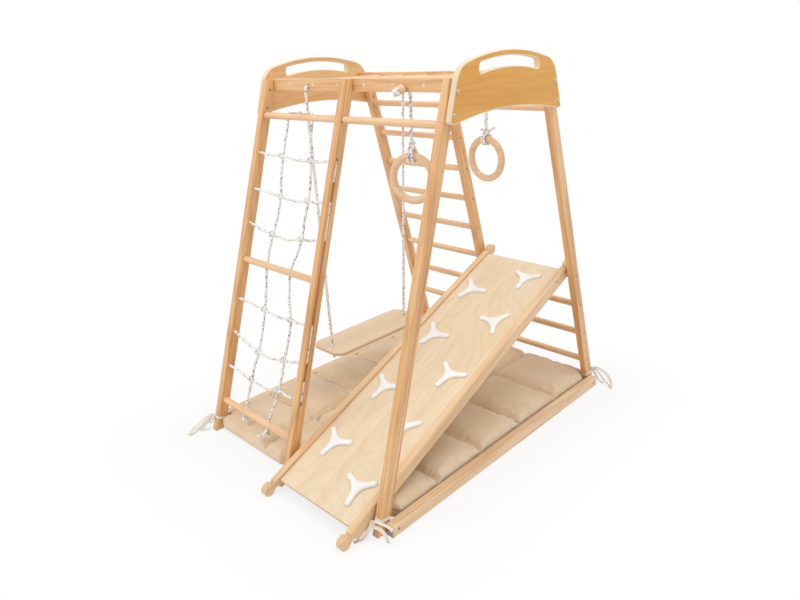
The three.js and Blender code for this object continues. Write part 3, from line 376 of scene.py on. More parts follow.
LOOKS = {
    "birch": (wood, (241, 198, 148), (230, 178, 122), (192, 124, 64), 1.2),
    "post_birch": (wood, (241, 195, 139), (228, 172, 109), (188, 118, 56), 1.45, 0.7, 1.2),
    "rod_birch": (wood, (244, 207, 164), (235, 189, 139), (204, 146, 90), 0.8),
    "rail_birch": (wood, (242, 209, 168), (231, 190, 143), (200, 146, 94), 0.9),
    "panel_left": (wood, (236, 193, 140), (226, 176, 118), (198, 138, 78), 0.6, 0.4, 0.5, 16, 2.0),
    "panel_right": (wood, (235, 175, 86), (224, 160, 70), (194, 126, 42), 0.6, 0.2, 0.5, 16, 2.0),
    "board": (wood, (241, 223, 195), (234, 211, 177), (208, 168, 118), 0.5, 0.25, 0.4, 22, 5.0),
    "seat": (wood, (236, 214, 181), (228, 202, 164), (204, 168, 124), 0.5, 0.2, 0.5, 16, 4.0),
    "ring": (wood, (243, 211, 174), (235, 196, 155), (208, 160, 116), 0.7, 0.3, 0.8),
    "plug": (wood, (250, 222, 192), (244, 210, 174), (216, 172, 130), 0.6),
    "ply_edge": (ply_edge, (247, 230, 204), (222, 186, 140)),
    "board_edge": (ply_edge, (238, 212, 172), (193, 146, 94)),
    "rope": (braid, (252, 250, 248), (92, 84, 88)),
    "cloth": (cloth_material, (246, 224, 195), (237, 211, 178)),
    "tape": (tape_material, (249, 243, 233), (238, 228, 212)),
    "plastic": (plastic, (250, 250, 249), (244, 244, 243)),
    "bright_metal": (metal, (214, 204, 192), (170, 156, 142), 0.28),
    # Dark screw and nut metal, made darker to paint the shade of the countersinks the screw heads sit in.
    "dark_metal": (metal, (96, 82, 70), (64, 54, 46), 0.4),
}
MATERIALS = {name: material(name, *values) for name, values in LOOKS.items()}


# Pieces

piece_numbers = itertools.count(1)
# Points that are the same when counted in this many parts of a metre are merged
MERGE_PARTS = 1e6
# How far a tube's round end reaches past its last ring, and how wide it is there, in shares of the radius
ROUND_END = ((0.35, 0.93), (0.65, 0.72), (0.82, 0.35))
TAPE_STEPS = 6
TAPE_CURL = 0.6


def merged(points, faces, grain):
    """The same faces, with points that lie on each other made one."""
    seen, places, kept, kept_grain = {}, [], [], []
    for point, value in zip(points, grain):
        key = tuple(round(c * MERGE_PARTS) for c in point)
        if key not in seen:
            seen[key] = len(kept)
            kept.append(point)
            kept_grain.append(value)
        places.append(seen[key])
    return kept, [tuple(places[i] for i in face) for face in faces], kept_grain


def square_to(axis):
    """Two directions square to a level axis and to each other."""
    side = UP.cross(axis).normalized()
    return side, axis.cross(side)


class Form:
    """Points in millimetres and faces that make one piece."""

    def __init__(self):
        self.points, self.faces, self.uvs, self.grain, self.finishes = [], [], [], [], []

    def piece(self, name, look, node=None, body="frame", slot="birch", crisp=False, merge=False):
        """Makes the piece. Its number shifts its grain, so that no two pieces look alike."""
        points, faces = [world(*p) for p in self.points], self.faces
        grain = self.grain or points
        if merge:
            points, faces, grain = merged(points, faces, grain)
        mesh = bpy.data.meshes.new(name)
        mesh.from_pydata([tuple(p) for p in points], [], faces)
        if self.uvs:
            layer = mesh.uv_layers.new(name="UVMap")
            layer.data.foreach_set("uv", [c for uv in self.uvs for c in uv])
        number = next(piece_numbers)
        shift = Vector((0.371 * number, 0.113 * number, 0.0))
        layer = mesh.attributes.new("grain", "FLOAT_VECTOR", "POINT")
        layer.data.foreach_set("vector", [c for value in grain for c in value + shift])
        for part in [look] if isinstance(look, str) else look:
            mesh.materials.append(MATERIALS[part])
        if self.finishes:
            mesh.polygons.foreach_set("material_index", self.finishes)
        mesh.polygons.foreach_set("use_smooth", [True] * len(mesh.polygons))
        mesh.update()
        obj = bpy.data.objects.new(name, mesh)
        bpy.context.collection.objects.link(obj)
        if crisp:
            smooth = obj.modifiers.new("smooth", "WEIGHTED_NORMAL")
            smooth.weight = 100
            smooth.keep_sharp = True
        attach(obj, body)
        if node:
            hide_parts(node)
        return obj

    def band(self, low, high, size, spans=None):
        """Quads between two rings of points, with the rings' places along the UVs where they have any."""
        for k in range(size):
            j = (k + 1) % size
            self.faces.append((low + k, low + j, high + j, high + k))
            if spans:
                u0, u1 = k / size, (k + 1) / size
                self.uvs += [(u0, spans[0]), (u1, spans[0]), (u1, spans[1]), (u0, spans[1])]

    def lathe(self, profile, centre, axis, size):
        """Turns (radius, height) points about a level axis through the centre."""
        side, other = square_to(axis)
        low = None
        for radius, height in profile:
            high = len(self.points)
            for i in range(size if radius else 1):
                a = 2 * math.pi * i / size
                out = side * math.cos(a) + other * math.sin(a)
                self.points.append(centre + axis * height + out * radius)
            if low is not None and low_radius and radius:
                self.band(low, high, size)
            elif low is not None:
                for i in range(size):
                    j = (i + 1) % size
                    tip = (low + i, low + j, high) if low_radius else (low, high + j, high + i)
                    self.faces.append(tip)
            low, low_radius = high, radius

    def tube(self, line, radius, sides=12, closed=False):
        """A tube along the line, with round ends unless it is closed."""
        count = len(line)
        tangents = []
        for i in range(count):
            a = line[i - 1] if (i or closed) else line[i]
            b = line[(i + 1) % count] if (i + 1 < count or closed) else line[i]
            tangents.append((b - a).normalized())
        side = tangents[0].orthogonal().normalized()
        frames, v, place = [], 0.0, line[0]
        for at, tangent in zip(line, tangents):
            side = (side - tangent * side.dot(tangent)).normalized()
            v += (at - place).length * MM
            place = at
            frames.append((at, side.copy(), tangent.cross(side), v, radius))
        if not closed:
            outwards = ((frames[0], -tangents[0]), (frames[-1], tangents[-1]))
            low, high = ([(at + way * radius * push, s, o, v, radius * width) for push, width in ROUND_END]
                         for (at, s, o, v, _), way in outwards)
            frames = low[::-1] + frames + high
        rings = []
        for at, s, o, v, r in frames:
            rings.append((len(self.points), v))
            for k in range(sides):
                a = 2 * math.pi * k / sides
                self.points.append(at + (s * math.cos(a) + o * math.sin(a)) * r)
        if closed:
            rings.append((rings[0][0], rings[-1][1] + (line[0] - line[-1]).length * MM))
        for (low, v0), (high, v1) in zip(rings, rings[1:]):
            self.band(low, high, sides, (v0, v1))
        if not closed:
            for (start, v), order in ((rings[0], range(sides - 1, -1, -1)), (rings[-1], range(sides))):
                self.faces.append(tuple(start + k for k in order))
                self.uvs += [(k / sides, v) for k in order]

    def knot(self, centre, size, thick, normal, turn, radius, count=44, sides=12):
        """A rope tied in itself: three crossing loops about the normal."""
        normal = Vector(normal).normalized()
        side = normal.orthogonal().normalized()
        other = normal.cross(side)
        c, s = math.cos(turn), math.sin(turn)
        line = []
        for i in range(count):
            t = 2 * math.pi * i / count
            x = (math.sin(t) + 2 * math.sin(2 * t)) / 3
            y = (math.cos(t) - 2 * math.cos(2 * t)) / 3
            flat = side * (x * c - y * s) + other * (x * s + y * c)
            line.append(Vector(centre) + flat * size - normal * math.sin(3 * t) * thick)
        self.tube(line, radius, sides, True)

    def ribbon(self, line, wide, width, thick=1.0):
        """A flat tape along the line. wide(tangent, share) gives the direction of its width."""
        spread = [k / TAPE_STEPS for k in range(TAPE_STEPS + 1)]
        edge = [(s, 0.5) for s in spread] + [(s, -0.5) for s in reversed(spread)]
        size = len(edge)
        rings = []
        v = 0.0
        for i, at in enumerate(line):
            tangent = (line[min(i + 1, len(line) - 1)] - line[max(i - 1, 0)]).normalized()
            w = wide(tangent, i / (len(line) - 1))
            w = (w - tangent * w.dot(tangent)).normalized()
            up = tangent.cross(w)
            v += (at - line[i - 1]).length * MM if i else 0
            rings.append((len(self.points), v))
            for share, face in edge:
                s = share - 0.5
                curl = TAPE_CURL * (4 * s * s - 0.5)
                self.points.append(at + w * (s * width) + up * (curl + thick * face))
        for (low, v0), (high, v1) in zip(rings, rings[1:]):
            for k in range(size):
                j = (k + 1) % size
                self.faces.append((low + k, high + k, high + j, low + j))
                self.uvs += [(edge[k][0], v0), (edge[k][0], v1), (edge[j][0], v1), (edge[j][0], v0)]
        for (start, v), order in ((rings[0], range(size)), (rings[-1], range(size - 1, -1, -1))):
            self.faces.append(tuple(start + k for k in order))
            self.uvs += [(edge[k][0], v) for k in order]


# Outlines

def moved_in(loop, amount):
    """The loop's points moved to the left of its travel."""
    out = []
    for i, p in enumerate(loop):
        d1 = (p - loop[i - 1]).normalized()
        d2 = (loop[(i + 1) % len(loop)] - p).normalized()
        m = Vector((-d1.y - d2.y, d1.x + d2.x))
        out.append(p + m * (2 / max(m.length_squared, 0.7)) * amount)
    return out


def cap_faces(loops, start, up):
    """Triangles over an outline and its holes, whose points follow each other from start."""
    flat = [[Vector((p.x, p.y, 0)) for p in loop] for loop in loops]
    every = [p for loop in flat for p in loop]
    faces = []
    for tri in tessellate_polygon(flat):
        a, b, c = (every[i] for i in tri)
        area = (b - a).cross(c - a).z
        if abs(area) >= 1e-9:
            faces.append(tuple(start + i for i in (tri if (area > 0) == up else tri[::-1])))
    return faces


def arc(cx, cy, radius, start, end, steps):
    """Points on an arc, angles in degrees."""
    angles = [math.radians(start + (end - start) * i / steps) for i in range(steps + 1)]
    return [Vector((cx + radius * math.cos(a), cy + radius * math.sin(a))) for a in angles]


def circle(cx, cy, radius, steps=20):
    """A clockwise circle, for holes."""
    return arc(cx, cy, radius, 360, 0, steps)[:-1]


def bend(a, b, c, steps):
    """Points on a quadratic curve."""
    a, b, c = Vector(a), Vector(b), Vector(c)
    shares = [i / steps for i in range(steps + 1)]
    return [a * (1 - t) ** 2 + b * 2 * t * (1 - t) + c * t * t for t in shares]


def clean(loop):
    """The loop without points that repeat."""
    out = []
    for p in loop:
        if not out or (p - out[-1]).length > 0.05:
            out.append(p)
    if (out[0] - out[-1]).length <= 0.05:
        out.pop()
    return out


def mirrored(points):
    return [Vector((-p.x, p.y)) for p in reversed(points)]


def box_loop(x0, y0, x1, y1, radius=0.0, steps=8):
    """A box, with round corners where a radius is given."""
    if not radius:
        return [Vector(p) for p in ((x0, y0), (x1, y0), (x1, y1), (x0, y1))]
    x2, y2, x3, y3 = x0 + radius, y0 + radius, x1 - radius, y1 - radius
    loop = []
    for quarter, (x, y) in enumerate(((x3, y2), (x3, y3), (x2, y3), (x2, y2))):
        loop += arc(x, y, radius, 90 * quarter - 90, 90 * quarter, steps)
    return clean(loop)


# Wooden pieces

SIDEWAYS = (Y_WAY, UP, X_WAY)
FLAT = (X_WAY, Y_WAY, UP)
FACING = (UP, X_WAY, Y_WAY)
ROD_EASE = 1.2


def slab(name, outline, thick, ease, axes, origin, look, node, holes=(), turn=0.0, steps=4, pocket=None,
         **others):
    """A flat piece with rounded edges: outline in (u, v), thickness along w.

    holes are (loop, ease) pairs through it, and turn is the grain's angle. pocket is (loop, depth, holes), sunk
    in its upper face. With two looks, the second is the edges'."""
    u, v, w = axes
    form = Form()
    cos, sin = math.cos(turn), math.sin(turn)

    def ring(loop, height):
        start = len(form.points)
        for p in loop:
            form.points.append(origin + u * p.x + v * p.y + w * height)
            form.grain.append(Vector((p.x * cos + p.y * sin, -p.x * sin + p.y * cos, height)) * MM)
        return start

    def wall(loop, levels):
        rings = [ring(moved_in(loop, inset) if inset else loop, height) for inset, height in levels]
        for low, high in zip(rings, rings[1:]):
            form.band(low, high, len(loop))

    def rounded_edges(size):
        if not size:
            return [(0, 0), (0, thick)]
        angles = [math.pi / 2 * k / steps for k in range(steps + 1)]
        low = [(size * (1 - math.sin(a)), size * (1 - math.cos(a))) for a in angles]
        return low + [(inset, thick - height) for inset, height in reversed(low)]

    edges = [(outline, ease), *holes]
    for loop, size in edges:
        wall(loop, rounded_edges(size))
    rims = [moved_in(loop, size) if size else loop for loop, size in edges]
    caps = [(rims, 0, False), (rims, thick, True)]
    if pocket:
        hollow, depth, inner_holes = pocket
        bottom = thick - depth
        wall(hollow, [(0, bottom), (0, thick)])
        for loop in inner_holes:
            wall(loop, [(0, 0), (0, bottom)])
        caps = [([hollow[::-1]] + inner_holes, bottom, True), (rims + inner_holes, 0, False),
                (rims + [hollow], thick, True)]
    form.finishes = [0 if isinstance(look, str) else 1] * len(form.faces)
    for loops, height, up in caps:
        start = len(form.points)
        for loop in loops:
            ring(loop, height)
        form.faces += cap_faces(loops, start, up)
    form.finishes += [0] * (len(form.faces) - len(form.finishes))
    form.piece(name, look, node, crisp=True, merge=True, **others)


def rod(name, start, end, node):
    """A round rod with eased ends."""
    start, end = Vector(start), Vector(end)
    length = (end - start).length
    axis = (end - start).normalized()
    side, other = square_to(axis)
    rim = [(ROD_RADIUS - ROD_EASE, 0), (ROD_RADIUS - ROD_EASE * 0.3, ROD_EASE * 0.3), (ROD_RADIUS, ROD_EASE)]
    far_rim = [(radius, length - height) for radius, height in reversed(rim)]
    form = Form()
    form.lathe([(0, 0), *rim, *far_rim, (0, length)], start, axis, 40)
    form.grain = [Vector((p - start).dot(way) for way in (axis, side, other)) * MM for p in form.points]
    form.piece(name, "rod_birch", node, crisp=True)


# Lines for ropes and tapes

def smooth_line(points, step=3.0):
    """A curve through the points, at even steps."""
    points = [Vector(p) for p in points]
    ends = [points[0] * 2 - points[1], *points, points[-1] * 2 - points[-2]]
    dense = []
    for p0, p1, p2, p3 in zip(ends, ends[1:], ends[2:], ends[3:]):
        parts = max(int((p2 - p1).length / step * 2), 4)
        for t in (k / parts for k in range(parts)):
            dense.append(0.5 * ((2 * p1) + (p2 - p0) * t + (2 * p0 - 5 * p1 + 4 * p2 - p3) * t * t
                                + (3 * p1 - p0 - 3 * p2 + p3) * t ** 3))
    return even([*dense, points[-1]], step)


def even(dense, step):
    """The same line at even steps."""
    lengths = [0.0]
    for a, b in zip(dense, dense[1:]):
        lengths.append(lengths[-1] + (b - a).length)
    parts = max(int(round(lengths[-1] / step)), 2)
    out, i = [], 0
    for want in (lengths[-1] * k / parts for k in range(parts + 1)):
        while i < len(dense) - 2 and lengths[i + 1] < want:
            i += 1
        gap = lengths[i + 1] - lengths[i]
        t = (want - lengths[i]) / gap if gap else 0
        out.append(dense[i].lerp(dense[i + 1], min(max(t, 0), 1)))
    return out


def rounded(points, radius):
    """The line with its corners rounded."""
    line = [points[0]]
    for a, p, b in zip(points, points[1:], points[2:]):
        back, on = a - p, b - p
        turn = math.pi - back.angle(on)
        want = radius * math.tan(turn / 2)
        start, end = (p + way.normalized() * min(want, way.length / 2.1) for way in (back, on))
        line += [p] if turn < math.radians(4) else bend(start, p, end, 6)
    return [*line, points[-1]]


# Swing and ring ropes

SEAT_TOP, SEAT_THICK, SEAT_HOLE = 250.0, 12.0, 201.0
SEAT_HALF_WIDTH, SEAT_HALF_LENGTH, SEAT_CORNER = 82.5, 239.0, 40.0
ROPE_RADIUS, END_RADIUS = 5.3, 4.9
ROPE_SIDES = 14
KNOT_REACH = 10.5

# Routes as (distance from mid-depth, height). The points up to IN_BEAM lie in the beam's hole and on the side
# of the beam where the rope's knot is.
IN_BEAM = 3
SWING_ROUTE = [
    (203.7, 1235), (213.7, 1235), (223.7, 1235), (234.2, 1235), (238.9, 1234), (242.9, 1231.2), (245.5, 1226.8),
    (246.3, 1221.5), (245.7, 1212), (243.8, 1176), (237, 1030), (229.9, 880), (222.9, 730), (215.9, 580),
    (208.8, 430), (202.5, 295), (201, 262), (201, 250), (201, 238), (201, 226),
]
RING_ROUTE = [
    (243.7, 1235), (234.7, 1235), (223.7, 1235), (213.7, 1235), (209.5, 1234.2), (206.1, 1231.8), (204, 1228.2),
    (203.4, 1223), (203.3, 1204), (203.1, 1130), (202.9, 1052),
]


def hung_rope(name, node, body, x, side, route):
    """A rope from its beam down. Returns the form for its knots, and a function that makes their piece."""
    points = [Vector((x, side * out, z)) for out, z in route]
    line = smooth_line(points[IN_BEAM:])
    hanging, ends = Form(), Form()
    hanging.tube(line, ROPE_RADIUS, ROPE_SIDES)
    rope = hanging.piece(f"{name}_rope", "rope", node, body, "rope")
    ends.tube(points[IN_BEAM::-1], END_RADIUS)

    def tie_off():
        tied = ends.piece(f"{name}_knots", "rope", node, body, "rope")
    return ends, tie_off


def swing_rope(label, side):
    ends, tie_off = hung_rope(f"swing_{label}", f"swing_rope_{label}", "swing", SWING_X, side, SWING_ROUTE)
    out = side * SEAT_HOLE
    ends.knot((SWING_X, side * (BEAM_BACK - KNOT_REACH), ROPE_HEIGHT), 7.4, 4.6, (0, 1, 0), 0.4, 4.2)
    ends.knot((SWING_X, out, SEAT_TOP - SEAT_THICK - KNOT_REACH), 7.4, 4.6, (0, 0, 1), 1.1, 4.2)
    ends.tube(smooth_line([(SWING_X, out, 232), (SWING_X + 2, out, 222), (SWING_X + 6, out - side, 208)]), 4.6)
    tie_off()


for label, side in SIDES.items():
    swing_rope(label, side)


# Gym rings: height, turn about the vertical, size of the knot on the ring, and how far the two turns of
# rope round the ring stand apart and rise
RINGS = {"front": (950.0, 14.0, 7.6, 7.5, 0.75), "back": (954.0, -6.0, 9.5, 5.2, 0.15)}
RING_OUT, RING_RADIUS, RING_SECTION = 202.9, 70.25, 12.25
RING_STEPS, RING_SIDES = 96, 24
STOPPER_RADIUS = 19
BEAD_RADIUS, BEAD_HALF = 14.8, 14.4


def gym_ring(label, side):
    """A ring on its rope: bead and knot on the beam's face, and a knotted loop round the ring."""
    height, turn, knot_size, apart, lift = RINGS[label]
    x, body = RING_X[label], f"{label}_ring"
    ends, tie_off = hung_rope(f"ring_{label}", f"ring_rope_{label}", body, x, side, RING_ROUTE)
    stopper = Vector((x + 3, side * (BEAM_FACE + SEAT_GAP + STOPPER_RADIUS), ROPE_HEIGHT - 12))
    bead = stopper + Vector((3.2, side * -4.3, 3.8))
    lump = stopper + Vector((-3.5, side * 9, -3.5))
    ends.knot(lump, 9.6, 7.0, (0.2, 1, 0.2), 0.5, 5.2, 60)
    ends.knot(lump, 6.4, 8.0, (0.5, 1, -0.3), 1.6, 5.0, 60)
    ends.tube(smooth_line([bead, lump + Vector((4, 0, 4)), lump]), 4.8)

    spin = math.radians(turn)
    across = Vector((math.cos(spin), math.sin(spin), 0))
    through = Vector((-math.sin(spin), math.cos(spin), 0))
    centre = Vector((x, side * RING_OUT, height))
    top = centre + UP * RING_RADIUS
    around = RING_SECTION + 0.6 + 5
    for way in (-apart, apart):
        loop = []
        for a in (2 * math.pi * k / 40 for k in range(40)):
            rise = max(math.sin(a), 0)
            loop.append(top + across * way * (1 - 0.75 * rise) + through * around * math.cos(a)
                        + UP * around * (math.sin(a) + lift * rise))
        ends.tube(loop, END_RADIUS, closed=True)
    knot_at = top + UP * (around * (1 + lift) + 4)
    ends.knot(knot_at, knot_size, 6.0, (0.2, 1, 0.1), 0.9, 4.6, 50)
    long_tail = [across * a + through * b + UP * c for a, b, c in ((16, -4, 4), (32, -8, 12), (46, -10, 17))]
    tails = {"front": [[(6, -7, -3), (11, -10, -13)]], "back": [long_tail, [(-9, -4, 7), (-17, -6, 9)]]}
    for tail in tails[label]:
        ends.tube(smooth_line([knot_at, *(knot_at + Vector(place) for place in tail)]), 4.4)
    tie_off()

    ball = Form()
    angles = [math.radians(a) for a in range(-80, 90, 10)]
    profile = [(BEAD_RADIUS * math.cos(a), BEAD_HALF * math.sin(a)) for a in angles]
    ball.lathe([(0, -BEAD_HALF), *profile, (0, BEAD_HALF)], bead, Y_WAY * side, 28)
    ball.grain = [(p - bead) * MM for p in ball.points]
    ball.piece(f"stopper_bead_{label}", "ring", None, body, "ring_wood")

    ring = Form()
    for a in (2 * math.pi * i / RING_STEPS for i in range(RING_STEPS)):
        out = across * math.cos(a) + UP * math.sin(a)
        for b in (2 * math.pi * k / RING_SIDES for k in range(RING_SIDES)):
            p = out * (RING_RADIUS + RING_SECTION * math.cos(b)) + through * RING_SECTION * math.sin(b)
            ring.points.append(centre + p)
            ring.grain.append(Vector((p.dot(across), p.z, p.dot(through))) * MM)
    for i in range(RING_STEPS):
        ring.band(i * RING_SIDES, (i + 1) % RING_STEPS * RING_SIDES, RING_SIDES)
    ring.piece(f"gym_ring_{label}", "ring", f"ring_{label}", body, "ring_wood")


for label, side in SIDES.items():
    gym_ring(label, side)


# Posts, with the net's holes and groove

NET_RADIUS, NET_CLEARANCE, NET_REST, NET_FORWARD = 4.25, 0.4, 0.6, 4.0
ROWS = [rung_z(level) for level in (1.02, 2.02, 2.97, 5.09, 6.03, 7.0)]
GROOVE_DEPTH, GROOVE_WIDTH, GROOVE_OVER = 9.8, 10.0, 8.0
POST_EASE = 3.0


def net_point(x, z, forward=NET_FORWARD):
    return Vector((x, -(middle(z) + forward), z))


def post_outline(side):
    face = BEAM_FACE + SEAT_GAP
    corners = [(FOOT_REACH, 0), (inner(0), 0), (face, (inner(0) - face) / SLOPE), (face, BEAM_TOP),
               (TOP_REACH, BEAM_TOP)]
    loop = [Vector((side * y, z)) for y, z in corners]
    return loop if side < 0 else loop[::-1]


def groove_outline():
    """The groove on the middle post's right face, clockwise, with round ends."""
    low, top = (net_point(0, z).yz for z in (ROWS[-1] - GROOVE_OVER, ROWS[0] + GROOVE_OVER))
    along = (top - low).normalized()
    across = Vector((-along.y, along.x))
    loop = []
    for centre, start in ((top, 0), (low, 180)):
        for t in (math.radians(start + 22.5 * k) for k in range(9)):
            loop.append(centre + (across * math.cos(t) + along * math.sin(t)) * GROOVE_WIDTH / 2)
    return loop


def post(label, side, place):
    ropes = [circle(*net_point(0, z).yz, NET_RADIUS + NET_CLEARANCE, 14) for z in ROWS]
    through = [(loop, 0) for loop in ropes] if (label, place) == ("front", "left") else ()
    pocket = (groove_outline(), GROOVE_DEPTH, ropes) if (label, place) == ("front", "middle") else None
    slab(f"upright_{label}_{place}", post_outline(side), POST_WIDTH, POST_EASE, SIDEWAYS, X_WAY * POST_X[place],
         "post_birch", f"post_{label}_{place}", through, math.pi / 2 + side * LEAN, 3, pocket)


for label, side in SIDES.items():
    for place in POST_X:
        post(label, side, place)


# Beams, bars, rungs and floor rails

FLOOR_RAIL_THICK, FLOOR_RAIL_HEIGHT, FLOOR_RAIL_HALF, FLOOR_RAIL_EASE = 30.7, 36.0, 590.0, 4.0
BEAM_EASE, BEAM_HOLE, BEAM_HOLE_EASE = 2.5, 5.5, 1.2
BAR_X = [(i - (BAR_COUNT - 1) / 2) * BAR_PITCH for i in range(BAR_COUNT)]


def beam(label, side):
    near = min(side * BEAM_FACE, side * BEAM_BACK)
    holes = [(circle(ROPE_HEIGHT, x, BEAM_HOLE), BEAM_HOLE_EASE) for x in (SWING_X, RING_X[label])]
    slab(f"crossbeam_{label}", box_loop(BEAM_LOW, LEFT, BEAM_TOP, RIGHT), BEAM_THICK, BEAM_EASE, FACING,
         Y_WAY * near, "birch", f"beam_{label}", holes, math.pi / 2, 3)


def rung(name, node, side, bay, level):
    z = rung_z(level)
    y = side * middle(z)
    rod(name, (BAY[bay][0] + SEAT_GAP, y, z), (BAY[bay][1] - SEAT_GAP, y, z), node)


def outside(thick):
    """Where a piece of this thickness starts along X, on the frame's left and on its right."""
    return {"left": LEFT - SEAT_GAP - thick, "right": RIGHT + SEAT_GAP}


for label, side in SIDES.items():
    beam(label, side)
for number, x in enumerate(BAR_X, 1):
    reach = BEAM_BACK - SEAT_GAP
    rod(f"overhead_bar_{number}", (x, -reach, BAR_HEIGHT), (x, reach, BAR_HEIGHT), f"monkey_bar_{number}")
for place, level in (("top", 0), ("middle", 4), ("bottom", 8)):
    rung(f"front_left_rod_{place}", f"rung_front_left_{place}", -1, "left", level)
rung("front_right_rod", "rung_front_right_top", -1, "right", 0)
for bay, levels in (("left", range(9)), ("right", (0, 6, 7, 8))):
    for level in levels:
        rung(f"back_{bay}_rod_{level + 1}", f"rung_back_{bay}_{level + 1}", 1, bay, level)
rung("hook_rod", "slide_hook_rung", 1, "right", HOOK_LEVEL)
floor_rail = box_loop(-FLOOR_RAIL_HALF, 0, FLOOR_RAIL_HALF, FLOOR_RAIL_HEIGHT)
for label, x in outside(FLOOR_RAIL_THICK).items():
    slab(f"base_rail_{label}", floor_rail, FLOOR_RAIL_THICK, FLOOR_RAIL_EASE, SIDEWAYS, X_WAY * x,
         "rail_birch", f"floor_rail_{label}")


# End panels

PANEL_TOP, PANEL_FOOT = 1331.0, 1133.0
CROWN_RADIUS, ARCH_RADIUS = 772.0, 1300.0
CROWN_CENTRE = PANEL_TOP - CROWN_RADIUS
PANEL_SIDE_INSET, PANEL_FOOT_INSET, PANEL_CORNER = 7.0, 24.9, 14.0
SHOULDER, SHOULDER_ROUND = 210.0, 50.0
SLOT_INSET, SLOT_HEIGHT, SLOT_HALF, SLOT_CORNER = 18.0, 31.0, 154.0, 12.0
PANEL_EASE = 3.0


def half_angle(radius, reach):
    return math.degrees(math.asin(reach / radius))


def crown(radius, y):
    return CROWN_CENTRE + math.sqrt(radius ** 2 - y ** 2)


def panel_outline():
    def side(z):
        return outer(z) - PANEL_SIDE_INSET
    span = side(PANEL_FOOT) - PANEL_FOOT_INSET
    arch_centre = PANEL_FOOT - math.sqrt(ARCH_RADIUS ** 2 - span ** 2)
    top = crown(CROWN_RADIUS, SHOULDER)
    fall = SHOULDER / (top - CROWN_CENTRE)
    shoulder = (top - fall * (FOOT_REACH - PANEL_SIDE_INSET - SHOULDER)) / (1 - fall * SLOPE)
    below, corner = shoulder - SHOULDER_ROUND, PANEL_FOOT + PANEL_CORNER
    right = bend((span, PANEL_FOOT), (side(PANEL_FOOT), PANEL_FOOT), (side(corner), corner), 8)
    right += bend((side(below), below), (side(shoulder), shoulder), (SHOULDER, top), 14)
    half, low = half_angle(CROWN_RADIUS, SHOULDER), half_angle(ARCH_RADIUS, span)
    return clean(right + arc(0, CROWN_CENTRE, CROWN_RADIUS, 90 - half, 90 + half, 40) + mirrored(right)
                 + arc(0, arch_centre, ARCH_RADIUS, 90 + low, 90 - low, 40))


def slot_outline():
    top, bottom = CROWN_RADIUS - SLOT_INSET, CROWN_RADIUS - SLOT_INSET - SLOT_HEIGHT
    end, straight = SLOT_HALF, SLOT_HALF - SLOT_CORNER
    low = crown(bottom, end) + SLOT_CORNER
    high = max(crown(top, end) - SLOT_CORNER, low)
    right = bend((straight, crown(bottom, straight)), (end, crown(bottom, end)), (end, low), 8)
    right += bend((end, high), (end, crown(top, end)), (straight, crown(top, straight)), 8)
    half_top, half_low = half_angle(top, straight), half_angle(bottom, straight)
    return clean(arc(0, CROWN_CENTRE, bottom, 90 + half_low, 90 - half_low, 36) + right
                 + arc(0, CROWN_CENTRE, top, 90 - half_top, 90 + half_top, 36) + mirrored(right))[::-1]


for label, x in outside(PANEL_THICK).items():
    slab(f"arched_panel_{label}", panel_outline(), PANEL_THICK, PANEL_EASE, SIDEWAYS, X_WAY * x,
         [f"panel_{label}", "ply_edge"], f"end_panel_{label}", [(slot_outline(), PANEL_EASE)],
         slot="panel_plywood")


# Slide, drawn along its slope from the hook rung's centre

HOOK_Z = rung_z(HOOK_LEVEL)
HOOK_Y = middle(HOOK_Z)
HOOK = Vector((0, HOOK_Y, HOOK_Z))
KNOB_RADIUS, KNOB_SPAN = 20.0, 1283.6
HOOK_INBOARD, HOOK_BELOW, HOOK_ROUND = 21.2, 25.0, 16.0
NOTCH_RADIUS = ROD_RADIUS + 0.7
SIDE_RAIL_THICK, SIDE_RAIL_DEPTH, SIDE_RAIL_EASE = 23.0, 42.5, 2.6
RAIL_OVER_KNOB, NECK_DROP = 12.4, 8.0
RAIL_TOP = HOOK_BELOW + RAIL_OVER_KNOB
RAIL_FOOT = RAIL_TOP - SIDE_RAIL_DEPTH
NECK = RAIL_TOP - NECK_DROP
SLIDE_LENGTH = KNOB_SPAN - HOOK_INBOARD
LOWER_HOOK = HOOK_INBOARD - SLIDE_LENGTH
TILT = (math.asin((HOOK_Z - KNOB_RADIUS) / math.hypot(SLIDE_LENGTH, HOOK_BELOW))
        + math.atan2(HOOK_BELOW, SLIDE_LENGTH))
UP_SLOPE = Vector((0, math.cos(TILT), math.sin(TILT)))
OFF_SLOPE = Vector((0, -math.sin(TILT), math.cos(TILT)))
SLIDE_LEFT_GAP, SLIDE_RIGHT_GAP = 15.5, 6.8
SLIDE_LEFT, SLIDE_RIGHT = BAY["right"][0] + SLIDE_LEFT_GAP, BAY["right"][1] - SLIDE_RIGHT_GAP
BOARD_X = (SLIDE_LEFT + SLIDE_RIGHT) / 2
BOARD_HALF = (SLIDE_RIGHT - SLIDE_LEFT) / 2 - SIDE_RAIL_THICK - SEAT_GAP
BOARD_END_INSET, BOARD_FOOT_INSET = 12.3, 21.3
BOARD_UP, BOARD_DOWN = -BOARD_END_INSET, LOWER_HOOK + BOARD_FOOT_INSET
BOARD_THICK, BOARD_DROP, BOARD_CORNER, BOARD_EASE = 9.5, 9.5, 3.0, 1.2
BOARD_TOP = RAIL_TOP - BOARD_DROP


